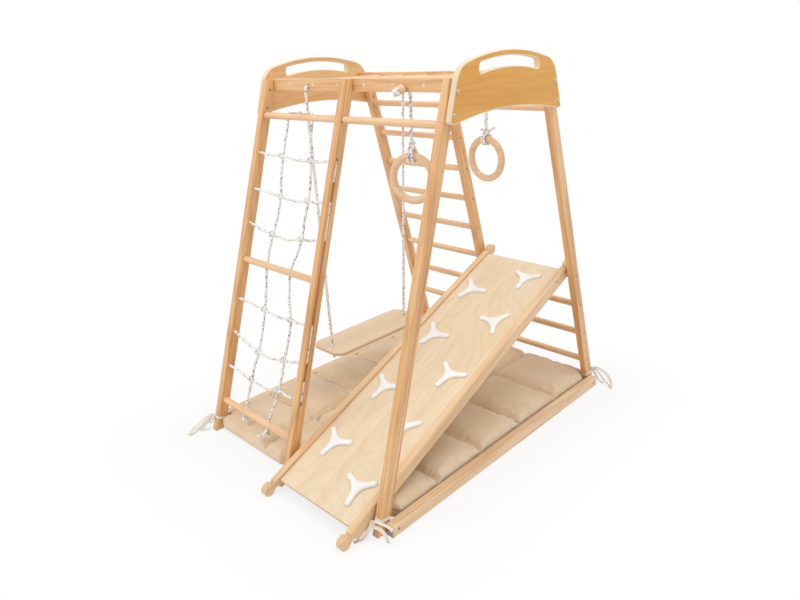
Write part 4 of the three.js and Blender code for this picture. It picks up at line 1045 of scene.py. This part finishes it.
def rail_end(centre, way):
    """One end of a side rail: neck, knob, notch for the rung and the rounded corner behind it."""
    touch = math.degrees(math.atan2(HOOK_BELOW, HOOK_INBOARD))
    neck_angle = 180 - half_angle(KNOB_RADIUS, NECK - HOOK_BELOW)
    points = bend((-NOTCH_RADIUS, RAIL_TOP), (-4, RAIL_TOP), (0, NECK), 8)
    points += arc(HOOK_INBOARD, HOOK_BELOW, KNOB_RADIUS, neck_angle, touch - 180, 36)
    points += arc(0, 0, NOTCH_RADIUS, touch, 180, 18)[1:]
    corner = (-NOTCH_RADIUS, RAIL_FOOT)
    points += bend((-NOTCH_RADIUS, 0), corner, (-NOTCH_RADIUS - HOOK_ROUND, RAIL_FOOT), 8)[1:]
    return [Vector((centre + way * p.x, p.y)) for p in points]


rail_outline = clean(rail_end(0, 1) + rail_end(LOWER_HOOK, -1)[::-1])[::-1]
for label, x in (("left", SLIDE_LEFT), ("right", SLIDE_RIGHT - SIDE_RAIL_THICK)):
    slab(f"slide_side_{label}", rail_outline, SIDE_RAIL_THICK, SIDE_RAIL_EASE, (UP_SLOPE, OFF_SLOPE, X_WAY),
         X_WAY * x + HOOK, "rail_birch", f"slide_rail_{label}", steps=3, body="slide")
slide_board = box_loop(BOARD_X - BOARD_HALF, BOARD_DOWN, BOARD_X + BOARD_HALF, BOARD_UP, BOARD_CORNER, 3)
slab("slide_surface", slide_board, BOARD_THICK, BOARD_EASE, (X_WAY, UP_SLOPE, OFF_SLOPE),
     HOOK + OFF_SLOPE * (BOARD_TOP - BOARD_THICK), ["board", "board_edge"], "slide_board", (), math.pi / 2, 3,
     body="slide", slot="board_plywood")

# Grips: place across and down the board, in shares, and turn in degrees
GRIPS = [(0.655, 0.077, 32), (-0.977, 0.179, 7), (0.86, 0.283, 58), (-0.87, 0.396, 11), (0.85, 0.511, 20),
         (-0.948, 0.626, 23), (0.782, 0.714, 40), (-0.928, 0.838, 22), (0.928, 0.912, 40)]
ARM, ARM_RADIUS, WAIST = 54.0, 9.5, 19.0
# How far a grip's outline is drawn in at each height
GRIP_LEVELS = [(1.5, 0.0), (0.4, 0.5), (0.0, 1.6), (0.0, 3.2), (0.35, 5.2), (1.1, 6.9), (2.3, 8.3), (3.9, 9.2),
               (5.9, 9.8), (7.6, 10.0)]


def grip_outline():
    """Three arms with round ends, and a hollow curve from each to the next."""
    loop = []
    for angle in (0, 120, 240):
        turns = [math.radians(angle + more) for more in (0, 60, 120)]
        d, h, e = (Vector((math.cos(a), math.sin(a))) for a in turns)
        loop += arc(d.x * ARM, d.y * ARM, ARM_RADIUS, angle - 90, angle + 90, 12)
        n = Vector((-d.y, d.x)) * ARM_RADIUS
        m = Vector((e.y, -e.x)) * ARM_RADIUS
        waist = h * WAIST
        for a, b, c in ((d * ARM + n, d * ARM / 2 + n, waist), (waist, e * ARM / 2 + m, e * ARM + m)):
            loop += [a * (1 - t) ** 3 + b * 3 * t * (1 - t) + c * t ** 3 for t in (i / 10 for i in range(11))]
    return clean(loop)


def grip(number, across, down, turn):
    """A domed grip: its outline, ring above ring."""
    spin = Matrix.Rotation(math.radians(turn), 2)
    free = BOARD_HALF - ARM - ARM_RADIUS
    centre = Vector((BOARD_X + across * free, BOARD_UP + down * (BOARD_DOWN - BOARD_UP)))
    outline = grip_outline()
    rings = [moved_in(outline, inset) for inset, _ in GRIP_LEVELS]
    size, form = len(outline), Form()
    for ring, (_, height) in zip(rings, GRIP_LEVELS):
        for p in ring:
            q = centre + spin @ p
            above = BOARD_TOP + SEAT_GAP + height
            form.points.append(HOOK + X_WAY * q.x + UP_SLOPE * q.y + OFF_SLOPE * above)
            form.grain.append(Vector((p.x, p.y, height)) * MM)
    last = len(form.points) - size
    for start in range(0, last, size):
        form.band(start, start + size, size)
    form.faces += cap_faces([rings[0]], 0, False) + cap_faces([rings[-1]], last, True)
    form.piece(f"three_arm_grip_{number}", "plastic", f"slide_grip_{number}", "slide", "grip_plastic", True)


for number, values in enumerate(GRIPS, 1):
    grip(number, *values)


# Swing seat

SEAT_EASE, SEAT_HOLE_RADIUS, SEAT_HOLE_EASE = 2.5, 5.6, 1.5
seat_holes = [(circle(SWING_X, side * SEAT_HOLE, SEAT_HOLE_RADIUS), SEAT_HOLE_EASE) for side in (-1, 1)]
seat = box_loop(SWING_X - SEAT_HALF_WIDTH, -SEAT_HALF_LENGTH, SWING_X + SEAT_HALF_WIDTH, SEAT_HALF_LENGTH,
                SEAT_CORNER, 14)
slab("swing_plank", seat, SEAT_THICK, SEAT_EASE, FLAT, UP * (SEAT_TOP - SEAT_THICK), ["seat", "board_edge"],
     "swing_seat", seat_holes, math.pi / 2, body="swing", slot="board_plywood")


# Climbing net: each row's knots as a share of the bay's width, and their sag in rung spacings

LEFT_KNOTS = [(0.346, 0.03), (0.4, 0.09), (0.366, 0.18), (0.409, 0.06), (0.409, 0.26), (0.366, 0.09)]
RIGHT_KNOTS = [(0.738, 0.07), (0.78, 0.09), (0.77, 0.11), (0.783, 0.07), (0.768, 0.18), (0.758, 0.0)]
# How far the uprights bow sideways between their knots
LEFT_BOWS = [3, -4, 5, -3, 4, 3, -5, -3]
RIGHT_BOWS = [-4, 5, -3, 4, -5, 4, 3, 4]
NET_TAIL = 62.0
NET_STEP = 2.6
UNDER_ROD = ROD_RADIUS + 0.6


def net_rows(left, right):
    """One rope to and fro through the posts, with its ends in the groove."""
    groove_x = POST_X["middle"] + POST_WIDTH - GROOVE_DEPTH + NET_RADIUS + NET_REST
    outside_x = LEFT - NET_RADIUS - NET_REST
    line = [net_point(groove_x, ROWS[0] - NET_TAIL)]
    for i, z in enumerate(ROWS):
        inside, outside = (net_point(x, z) for x in (BAY["left"][1] - 0.6, BAY["left"][0] + 0.6))
        stops = [inside, right[i], left[i], outside]
        row = [net_point(groove_x, z), inside]
        for a, b, sag in zip(stops, stops[1:], (3, 5 + 2 * (i % 3), 4 - i % 2 * 5)):
            p = a.lerp(b, 0.5)
            row += [net_point(p.x, p.z - sag), b]
        row.append(net_point(outside_x, z))
        line += row[::-1] if i % 2 else row
    return [*line, net_point(groove_x, ROWS[-1] + NET_TAIL)]


def net_upright(x, knots, bows):
    """Down from the top rung through three knots, the middle rung and three more to under the bottom rung."""
    line = [net_point(x, rung_z(0) - UNDER_ROD, 0)]
    bows = iter(bows)
    for first, level, below in ((0, 4, UNDER_ROD), (3, 8, 22)):
        entry = net_point(x, rung_z(level) + UNDER_ROD, 0)
        stops = [(knot, NET_FORWARD) for knot in knots[first:first + 3]] + [(entry, 2)]
        for stop, forward in stops:
            p = line[-1].lerp(stop, 0.5)
            line += [net_point(p.x + next(bows), p.z, forward), stop]
        line.append(net_point(x, rung_z(level) - below, 0))
    return line


def climbing_net():
    bay0, bay1 = BAY["left"]
    width = bay1 - bay0
    left, right = ([net_point(bay0 + share * width, z - sag * RUNG_PITCH)
                    for z, (share, sag) in zip(ROWS, knots)] for knots in (LEFT_KNOTS, RIGHT_KNOTS))
    holes = [bay0 + width / 3, bay0 + width * 2 / 3]
    over = [Vector((x, -middle(rung_z(0)), rung_z(0) + ROD_RADIUS + NET_RADIUS + NET_REST)) for x in holes]
    uprights = net_upright(holes[0], left, LEFT_BOWS)[::-1] + over + net_upright(holes[1], right, RIGHT_BOWS)
    net = Form()
    for line, radius in ((net_rows(left, right), 8), (uprights, 9)):
        net.tube(even(rounded(line, radius), NET_STEP), NET_RADIUS + 0.3)
    for i, crossings in enumerate(zip(left, right)):
        for k, at in enumerate(crossings):
            normal = (0.25 * (-1) ** k, -1, 0.3 * (-1) ** i)
            net.knot(at + Vector((-7, -2, 2)), 8.2, 4.4, normal, 0.8 * i + k, 3.8, 40, 10)
            net.knot(at + Vector((-1, 0, 1)), 5.6, 5.2, (1, 0.4, 0.2 * k), 0.5 * i, 3.7, 36, 10)
    for k, x in enumerate(holes):
        at = net_point(x, rung_z(8) - ROD_RADIUS - 13.4, 0)
        net.knot(at, 8.8, 5.4, (0.2, 0.2, 1), 0.6 + k, 4.6, 44, 10)
        net.knot(at, 6.4, 6.4, (1, 0.3, 0.2), 1.6 + k, 4.3, 40, 10)
    at = net_point(holes[1], rung_z(8) - 24, 0)
    tail = [at + Vector(place) for place in ((0, 0, 0), (-8, -8, -7), (-17, -16, -14), (-25, -22, -17))]
    net.tube(smooth_line(tail, NET_STEP), NET_RADIUS, 10)
    net.piece("rope_net", "rope", "climbing_net", slot="rope")


climbing_net()


# Floor mat

MAT_THICK, MAT_REACH = 54.0, 598.0
MAT_HALF = RIGHT - 2
MAT_EDGE, MAT_RIM = 25.0, 33.0
MAT_SLIDE_GAP, MAT_POST_GAP = 21.1, 3.0
MAT_DENT_RUN, MAT_DENT_SIDE = 42.0, 4.0
MAT_PINCH = MAT_HALF - (RIGHT - POST_WIDTH - MAT_POST_GAP)
MAT_PINCH_RUN, MAT_PINCH_START = 18.0, 57.0
MAT_DRAW_IN, MAT_CORNER = 5.0, 12.0
ROLL_SIDE, ROLL_END, ROLL_POWER = 25.0, 34.0, 2.4
CROSS_SEAMS = (-0.604, -0.216, 0.172, 0.56)
LONG_SEAMS = (-0.34, 0.34)
SEAM_DEPTH, SEAM_WIDTH = 20.0, 9.5
MIDDLE_X = POST_X["middle"] + POST_WIDTH / 2
UNDER_SLIDE = (HOOK_Z + RAIL_FOOT / math.cos(TILT) - MAT_EDGE - MAT_SLIDE_GAP) / math.tan(TILT) - HOOK_Y
# The mat's side below its upper cloth: height, and how far it lies inside the cloth's edge
SKIRT = ((24, -0.3), (17, 0.5), (10, 2.5), (4.5, 6), (1.2, 10.5), (0.0, 15))


def eased(share):
    share = min(max(share, 0), 1)
    return share * share * (3 - 2 * share)


def seam_gaps(across, along):
    """Distances to the nearest cross seam and the nearest lengthwise seam."""
    return (min(abs(along - seam) for seam in CROSS_SEAMS) * MAT_REACH,
            min(abs(across - seam) for seam in LONG_SEAMS) * MAT_HALF)


def edge_gaps(across, along):
    return (1 - abs(across)) * MAT_HALF, (1 - abs(along)) * MAT_REACH


def mat_reach(x, front):
    """The mat reaches farther out between the posts than beside the middle ones."""
    full = min(UNDER_SLIDE, MAT_REACH) if front and x > MIDDLE_X else MAT_REACH
    dented = min(inner(MAT_THICK) - MAT_POST_GAP, full)
    beside = abs(x - MIDDLE_X) - POST_WIDTH / 2 - MAT_DENT_SIDE
    return dented + (full - dented) * eased(beside / MAT_DENT_RUN)


def mat_place(across, along):
    """A point of the mat's upper cloth, from shares of its half width and of its reach."""
    end_gap = edge_gaps(across, along)[1]
    corner = MAT_CORNER - math.sqrt(MAT_CORNER ** 2 - max(MAT_CORNER - end_gap, 0) ** 2)
    pinch = MAT_PINCH * eased((MAT_PINCH_START - end_gap) / MAT_PINCH_RUN)
    half = MAT_HALF - pinch - corner - MAT_DRAW_IN * (1 - along ** 2)
    x = across * half
    reach = mat_reach(x, along < 0)
    inward = min((1 - abs(across)) * half / ROLL_SIDE, (1 - abs(along)) * reach / ROLL_END, 1)
    roll = max(1 - (1 - inward) ** ROLL_POWER, 0) ** (1 / ROLL_POWER)
    sewn = sum(math.exp(-(gap / SEAM_WIDTH) ** 2) for gap in seam_gaps(across, along))
    rim = MAT_RIM + (8 * min(max(-x / 60, 0), 1) if along < 0 else 0)
    return Vector((x, along * reach, rim + (MAT_THICK - rim) * roll - SEAM_DEPTH * min(sewn, 1.4) * roll))


def cloth_shares(steps, ends, seams):
    """Shares from -1 to 1, closer together near both ends, with the nearest one moved onto each seam."""
    shares = []
    for t in (2 * i / steps - 1 for i in range(steps + 1)):
        shares.append(t * (1 - ends) + ends * math.sin(t * math.pi / 2))
    for seam in seams:
        nearest = min(range(len(shares)), key=lambda i: abs(shares[i] - seam))
        shares[nearest] = seam
    return shares


def creases(p, across, along):
    """Depth of the fine folds that run in from the mat's sides and across its seams."""
    edge, end = edge_gaps(across, along)
    cross, long = seam_gaps(across, along)
    inward = noise.noise(Vector((p.x * 0.008, p.y * 0.05, 3.1)))
    lengthwise = noise.noise(Vector((p.x * 0.05, p.y * 0.008, 7.7)))
    from_side = math.exp(-edge / 60) * min(edge / 8, 1) + 0.8 * math.exp(-long / 26)
    from_seam = math.exp(-cross / 30) + math.exp(-end / 45) * min(end / 8, 1)
    folds = max(0, 1 - abs(inward) * 5) * from_side + max(0, 1 - abs(lengthwise) * 5) * from_seam
    return 3.4 * min(folds, 1.2)


def floor_mat():
    columns = cloth_shares(118, 0.28, LONG_SEAMS)
    rows = cloth_shares(164, 0.22, CROSS_SEAMS)
    wide, deep = len(columns), len(rows)
    places = [(across, along) for along in rows for across in columns]
    form = Form()
    points, faces = form.points, form.faces
    for place in places:
        p = mat_place(*place)
        p.z -= 3 + creases(p, *place)
        points.append(p)
    for start in (r * wide + c for r in range(deep - 1) for c in range(wide - 1)):
        faces.append((start, start + 1, start + wide + 1, start + wide))
    edge = list(range(wide)) + [r * wide + wide - 1 for r in range(1, deep)]
    edge += [(deep - 1) * wide + c for c in range(wide - 2, -1, -1)]
    edge += [r * wide for r in range(deep - 2, 0, -1)]
    following = edge[1:] + edge[:1]
    above = edge
    for height, inset in SKIRT:
        ring = list(range(len(points), len(points) + len(edge)))
        for before, i, after in zip(edge[-1:] + edge, edge, following):
            way = points[before] - points[after]
            inward = Vector((way.y, -way.x, 0)).normalized()
            points.append(Vector((*(points[i] + inward * inset).xy, height)))
        for n, m in zip(range(len(edge)), [*range(1, len(edge)), 0]):
            faces.append((above[n], ring[n], ring[m], above[m]))
        above = ring
    faces += cap_faces([[points[i].xy for i in above]], above[0], False)
    form.grain = [p * MM for p in points]
    mat = form.piece("quilted_mat", "cloth", "floor_mat", slot="mat_cloth")
    # Painted shade for the cloth: 1 in the seams and at the sides by the floor rails, fading to 0 over 7 mm.
    seam_and_edge_shade = mat.data.attributes.new("seam", "FLOAT", "POINT")
    for i, place in enumerate(places):
        gap = min(*seam_gaps(*place), edge_gaps(*place)[0])
        seam_and_edge_shade.data[i].value = max(1 - gap / 7, 0)
    puff(mat, [min(seam_gaps(*place)) >= 3 and min(edge_gaps(*place)) >= 1 for place in places])
    finer = mat.modifiers.new("finer", "SUBSURF")
    finer.levels = 1
    finer.render_levels = 1


def slide_under(y):
    """Height of the slide's underside over the mat."""
    return HOOK_Z + (y - HOOK_Y) * math.tan(TILT) + RAIL_FOOT / math.cos(TILT)


PUFF = {"quality": 6, "mass": 0.15, "tension_stiffness": 12, "compression_stiffness": 12, "shear_stiffness": 6,
        "bending_stiffness": 0.05, "use_pressure": True, "uniform_pressure_force": 2.6,
        "vertex_group_mass": "held", "pin_stiffness": 1, "shrink_min": -0.045}
PUFF_FRAMES = 22
MOST_SHIFT, MOST_RISE = 0.0022, 0.011


def puff(mat, free):
    """Blows the mat's upper cloth up between its seams, so that it wrinkles as sewn cloth does."""
    scene = bpy.context.scene
    rest = [v.co.copy() for v in mat.data.vertices]
    loose = [i for i, is_free in enumerate(free) if is_free]
    held = sorted(set(range(len(rest))) - set(loose))
    mat.vertex_groups.new(name="held").add(held, 1.0, "REPLACE")
    for i in loose:
        mat.data.vertices[i].co.z += 0.0012 * noise.noise(rest[i] * 38)
    cloth = mat.modifiers.new("cloth", "CLOTH")
    for key, value in PUFF.items():
        setattr(cloth.settings, key, value)
    cloth.settings.effector_weights.gravity = 0
    cloth.collision_settings.use_collision = False
    cloth.point_cache.frame_start = 1
    cloth.point_cache.frame_end = PUFF_FRAMES
    for number in range(1, PUFF_FRAMES + 1):
        scene.frame_set(number)
    evaluated = mat.evaluated_get(bpy.context.evaluated_depsgraph_get())
    blown = [v.co.copy() for v in evaluated.data.vertices]
    mat.modifiers.remove(cloth)
    scene.frame_set(1)
    for i in loose:
        move = blown[i] - rest[i]
        level = Vector((move.x, move.y, 0))
        if level.length > MOST_SHIFT:
            level *= MOST_SHIFT / level.length
        p = rest[i] + level + UP * MOST_RISE * math.tanh(move.z / MOST_RISE)
        if p.x > 0:
            p.z = min(p.z, (slide_under(p.y / MM - SHIFT) - 2.0) * MM)
        mat.data.vertices[i].co = p
    mat.vertex_groups.clear()
    mat.data.update()


floor_mat()


# Tape ties at the mat's corners: a band round the post, a knot, a strap to the mat, bows and loose ends

TAPE_WIDTH, TAPE_HEIGHT, TAPE_GAP = 13.0, 50.0, 1.3
BAND_WIDTH, END_WIDTH, END_THICK = TAPE_WIDTH * 0.72, TAPE_WIDTH * 0.8, 0.9
FACE_TURN = 0.4

# Each tie's side and way along X, and the routes of its two ends: out beyond the post's side face, beyond its
# outer face, and height
TIES = {
    "front_left": (-1, -1, [
        [(0, 3, 52), (6, 16, 46), (12, 32, 32), (17, 50, 16), (21, 66, 5), (24, 81, 2)],
        [(0, 3, 50), (8, 8, 44), (15, 17, 30), (20, 28, 13), (21, 41, 2)],
    ]),
    "front_right": (-1, 1, [
        [(-12, 3, 50), (-23, 16, 34), (-24, 27, 18), (-26, 35, 8), (-33, 46, 3.5), (-41, 58, 1.5)],
        [(0, 3, 50), (-14, 11, 34), (3, 13, 38), (19, 14, 39), (31, 13, 33), (39, 9, 22), (40, 2, 9),
         (36, -6, 2)],
    ]),
    "back_right": (1, 1, [
        [(0, 3, 54), (16, 5, 64), (36, 5, 64), (56, 4, 54), (72, 0, 40), (82, -6, 24), (88, -16, 9),
         (90, -29, 2)],
        [(0, 3, 50), (5, 5, 42), (10, 6, 30), (17, 6, 16), (25, 5, 5), (34, 3, 2), (46, 0, 1.5)],
    ]),
    "back_left": (1, -1, [
        [(0, 3, 52), (7, 12, 44), (14, 18, 28), (20, 20, 10), (28, 20, 2.5), (44, 20, 2)],
        [(0, 3, 50), (5, 8, 42), (8, 18, 26), (6, 26, 10), (2, 30, 2.5), (-14, 36, 2)],
    ]),
}
# Bows and short strands, measured as the ends are, with their width in shares of the tape's
BOWS = {
    "front_left": [
        (0.6, [(0, 5, 54), (3, 14, 57), (6, 31, 54), (13, 54, 39), (19, 72, 23), (24, 83, 10), (25, 87, 3)]),
        (0.4, [(0, 8, 50), (4, 15, 48), (7, 17, 37), (5, 12, 25), (1, 7, 30), (-1, 6, 42)]),
        (0.4, [(2, 9, 12), (8, 14, 3), (18, 32, 2)]),
    ],
    "front_right": [
        (0.6, [(-26, 8, 38), (-18, 11, 46), (-6, 12, 51), (14, 14, 56), (34, 17, 61), (54, 20, 64),
               (61, 20, 61), (52, 18, 57)]),
    ],
    "back_right": [
        (0.6, [(0, 4, 56), (10, 5, 55), (20, 5, 50), (33, 5, 37), (44, 4, 21), (58, 2, 9), (72, -6, 3),
               (87, -24, 3)]),
    ],
    "back_left": [],
}
KNOT_PLACE = (-5.3, 9.1, TAPE_HEIGHT)
KNOT_PLACES = {"front_right": (-25, 9, 40)}


def tie(label):
    side, way, routes = TIES[label]
    face_x = way * RIGHT
    x0, x1 = face_x + way * TAPE_GAP, face_x - way * (POST_WIDTH + TAPE_GAP)

    def corner(x, front, height):
        y = outer(height) + TAPE_GAP if front else inner(height) - TAPE_GAP
        return Vector((x, side * y, height))

    def place(dx, dy, z):
        return Vector((face_x + way * dx, side * (outer(z) + dy), z))

    def shown(line):
        """Width directions: the tape lies flat on the floor and turns its face outwards above it."""
        def wide(tangent, share):
            at = line[int(round(share * (len(line) - 1)))]
            level = UP.cross(tangent).normalized()
            facing = tangent.cross(look).normalized()
            if facing.dot(level) < 0:
                facing = -facing
            facing = facing.lerp(level, FACE_TURN * (0.5 + 0.5 * math.sin(5 * share)))
            return level.lerp(facing, min(max((at.z - 5) / 14, 0), 1))
        return wide

    node = f"tie_{label}" if f"tie_{label}" in frame["nodes"] else None
    tied = Form()
    start = corner(x1, False, TAPE_HEIGHT - 14)
    stops = [corner(x0, True, TAPE_HEIGHT), corner(x0, False, TAPE_HEIGHT - 7), start,
             corner(x1, True, TAPE_HEIGHT - 1), corner(x0, True, TAPE_HEIGHT)]
    dense = []
    for a, b in zip(stops, stops[1:]):
        run = (b - a).normalized() * 4
        dense.extend((a + run).lerp(b - run, k / 6) for k in range(7))
    along_post = Vector((0, -side * SLOPE, 1)).normalized()
    tied.ribbon(even([*dense, dense[0]], 3.0), lambda tangent, share: along_post, BAND_WIDTH)
    knot_at = place(*KNOT_PLACES.get(label, KNOT_PLACE))
    tied.knot(knot_at, 5.0, 3.0, (0.3 * way, side, 0.2), 0.7, 3.1, 36, 8)
    tied.knot(knot_at - UP * 2, 3.6, 3.6, (way, side, 0.4), 1.7, 2.9, 36, 8)
    mat_corner = mat_place(way, side * 0.94)
    into_mat = (mat_corner - start).normalized() * 3
    strap = smooth_line([start, start.lerp(mat_corner, 0.5) + UP, mat_corner + into_mat], 4)
    tied.ribbon(strap, lambda tangent, share: UP, END_WIDTH)
    look = (camera_at - world(*knot_at) / MM).normalized()
    for share, route in BOWS[label]:
        line = smooth_line([place(*point) for point in route])
        tied.ribbon(line, shown(line), TAPE_WIDTH * share, END_THICK)
    tied.piece(f"tie_{label}_band", "tape", node, slot="cotton_tape")
    for number, route in enumerate(routes, 1):
        line = smooth_line([knot_at, *(place(*point) for point in route[1:])])
        tail = Form()
        tail.ribbon(line, shown(line), END_WIDTH, END_THICK)
        end = tail.piece(f"tie_{label}_end_{number}", "tape", node, slot="cotton_tape")


for label in TIES:
    tie(label)


# Screws, bolts and plugs

PANEL_BOLTS = [(side * y, z) for side in (-1, 1) for y, z in ((254, 1222), (272, 1158))]
FLOOR_SCREWS = [(-566, 19), (566, 19)]
SLIDE_SCREW_DOWN, SLIDE_SCREW_BELOW = 80.0, 4.7
HEAD_FOOT = 0.6


def fasteners(name, spots, radius, height, look, recess=0.45, sunk=0.0, **others):
    """Turned heads with a recess, each at its place and facing its way."""
    profile = [(0, -HEAD_FOOT), (1, -HEAD_FOOT), (1, 0.1), (0.96, height * 0.45), (0.8, height * 0.85),
               (recess + 0.12, height), (recess, height * 0.97), (recess * 0.9, height * 0.15),
               (0, height * 0.12)]
    form = Form()
    for at, way in spots:
        form.lathe([(radius * share, level - sunk) for share, level in profile], at, way, 18)
    form.grain = [p * MM for p in form.points]
    form.piece(name, look, crisp=True, **others)


# The screw heads' dark metal also paints the shade of their countersunk holes.
def screws(name, spots, radius=3.6, height=0.5, **others):
    fasteners(name, spots, radius, height, "dark_metal", 0.5, 0.1, **others)


def facing_x(x, way, places):
    return [(Vector((x, y, z)), X_WAY * way) for y, z in places]


def on_rungs(side, levels):
    return [(side * middle(rung_z(level)), rung_z(level)) for level in levels]


for label, way in (("left", -1), ("right", 1)):
    bolts = facing_x(way * (RIGHT + PANEL_THICK + SEAT_GAP), way, PANEL_BOLTS)
    fasteners(f"panel_bolts_{label}", bolts, 7.2, 3.2, "bright_metal", slot="panel_plywood")
nuts = facing_x(LEFT + POST_WIDTH, 1, PANEL_BOLTS) + facing_x(RIGHT - POST_WIDTH, -1, PANEL_BOLTS)
fasteners("panel_nuts", nuts, 5.2, 0.6, "dark_metal", 0.6, 0.2)
for label, side in SIDES.items():
    spots = [(Vector((x, side * BEAM_FACE, BAR_HEIGHT)), Y_WAY * side) for x in BAR_X]
    fasteners(f"beam_plugs_{label}", spots, 5.0, 0.5, "plug", 0.2)
screws("rung_screws", facing_x(POST_X["middle"] + POST_WIDTH, 1, on_rungs(1, range(9)))
       + facing_x(LEFT, -1, on_rungs(1, range(1, 9)) + on_rungs(-1, (4, 8)))
       + facing_x(RIGHT, 1, on_rungs(1, range(5, 9))))
rail_face = RIGHT + SEAT_GAP + FLOOR_RAIL_THICK
screws("floor_rail_screws", facing_x(-rail_face, -1, FLOOR_SCREWS) + facing_x(rail_face, 1, FLOOR_SCREWS),
       4.0, 0.6)
slide_screw = HOOK - UP_SLOPE * SLIDE_SCREW_DOWN + OFF_SLOPE * (BOARD_TOP - SLIDE_SCREW_BELOW)
slide_sides = ((SLIDE_LEFT, -1), (SLIDE_RIGHT, 1))
screws("slide_screws", [(slide_screw + X_WAY * x, X_WAY * way) for x, way in slide_sides], body="slide")


# Floor, world and lamps

FLOOR_HALF, FLOOR_Z = 9, -0.0005
FOOTPRINT = (0.45, 0.62)
FLOOR_WHITE, FLOOR_FADE = 0.76, 0.5


def make_floor():
    """A pale floor that turns to plain white away from the object, and keeps its shadow near it."""
    s = Shader("floor", 0.8, 0.2)
    s.surface.inputs["Base Color"].default_value = (0.9, 0.9, 0.9, 1)
    glow = s.node("Emission")
    place = s.parts(s.node("NewGeometry").outputs["Position"])
    beyond = [s.math("MAXIMUM", s.math("SUBTRACT", s.math("ABSOLUTE", place[i]), half), 0.0)
              for i, half in enumerate(FOOTPRINT)]
    away = s.math("SQRT", s.add(*(s.math("POWER", gap, 2.0) for gap in beyond)))
    plain = s.add(FLOOR_WHITE, s.times(s.ramp(away, 0.0, FLOOR_FADE), 1 - FLOOR_WHITE))
    seen = s.times(s.plain_rays(), plain)
    surface = s.blend(seen, s.surface.outputs[0], glow.outputs[0])
    s.feed(s.tree.nodes["Material Output"].inputs["Surface"], surface)
    mesh = bpy.data.meshes.new("floor")
    corners = [(x * FLOOR_HALF, y * FLOOR_HALF, FLOOR_Z) for x, y in ((-1, -1), (1, -1), (1, 1), (-1, 1))]
    mesh.from_pydata(corners, [], [(0, 1, 2, 3)])
    mesh.materials.append(s.material)
    floor = bpy.data.objects.new("floor", mesh)
    bpy.context.collection.objects.link(floor)


def make_world():
    """Soft light from all sides, and white where the background is seen."""
    world = bpy.data.worlds.new("studio")
    bpy.context.scene.world = world
    world.use_nodes = True
    nodes = Nodes(world.node_tree)
    light, white = nodes.tree.nodes["Background"], nodes.node("Background")
    for shader, colour, strength in ((light, (1, 0.99, 0.97, 1), 0.6), (white, (1, 1, 1, 1), 1.0)):
        shader.inputs[0].default_value = colour
        shader.inputs[1].default_value = strength
    surface = nodes.blend(nodes.plain_rays(), light.outputs[0], white.outputs[0])
    nodes.feed(nodes.tree.nodes["World Output"].inputs["Surface"], surface)


def lamp(name, at, target, size, power, colour=(1, 1, 1)):
    data = bpy.data.lights.new(name, "AREA")
    data.shape = "SQUARE"
    data.size = size
    data.energy = power
    data.color = colour
    obj = bpy.data.objects.new(name, data)
    obj.location = at
    obj.rotation_euler = (Vector(target) - Vector(at)).to_track_quat("-Z", "Y").to_euler()
    bpy.context.collection.objects.link(obj)


make_floor()
make_world()
lamp("key", (-1.2, -3.0, 3.4), (0, 0, 0.6), 2.2, 56, (1, 0.98, 0.95))
lamp("top", (1.3, 0.7, 3.8), (0.1, 0, 0.3), 2.8, 52)
lamp("side", (3.4, -0.4, 2.0), (0, 0, 0.6), 2.0, 3, (1, 0.99, 0.97))
bpy.context.scene.view_settings.view_transform = "Standard"
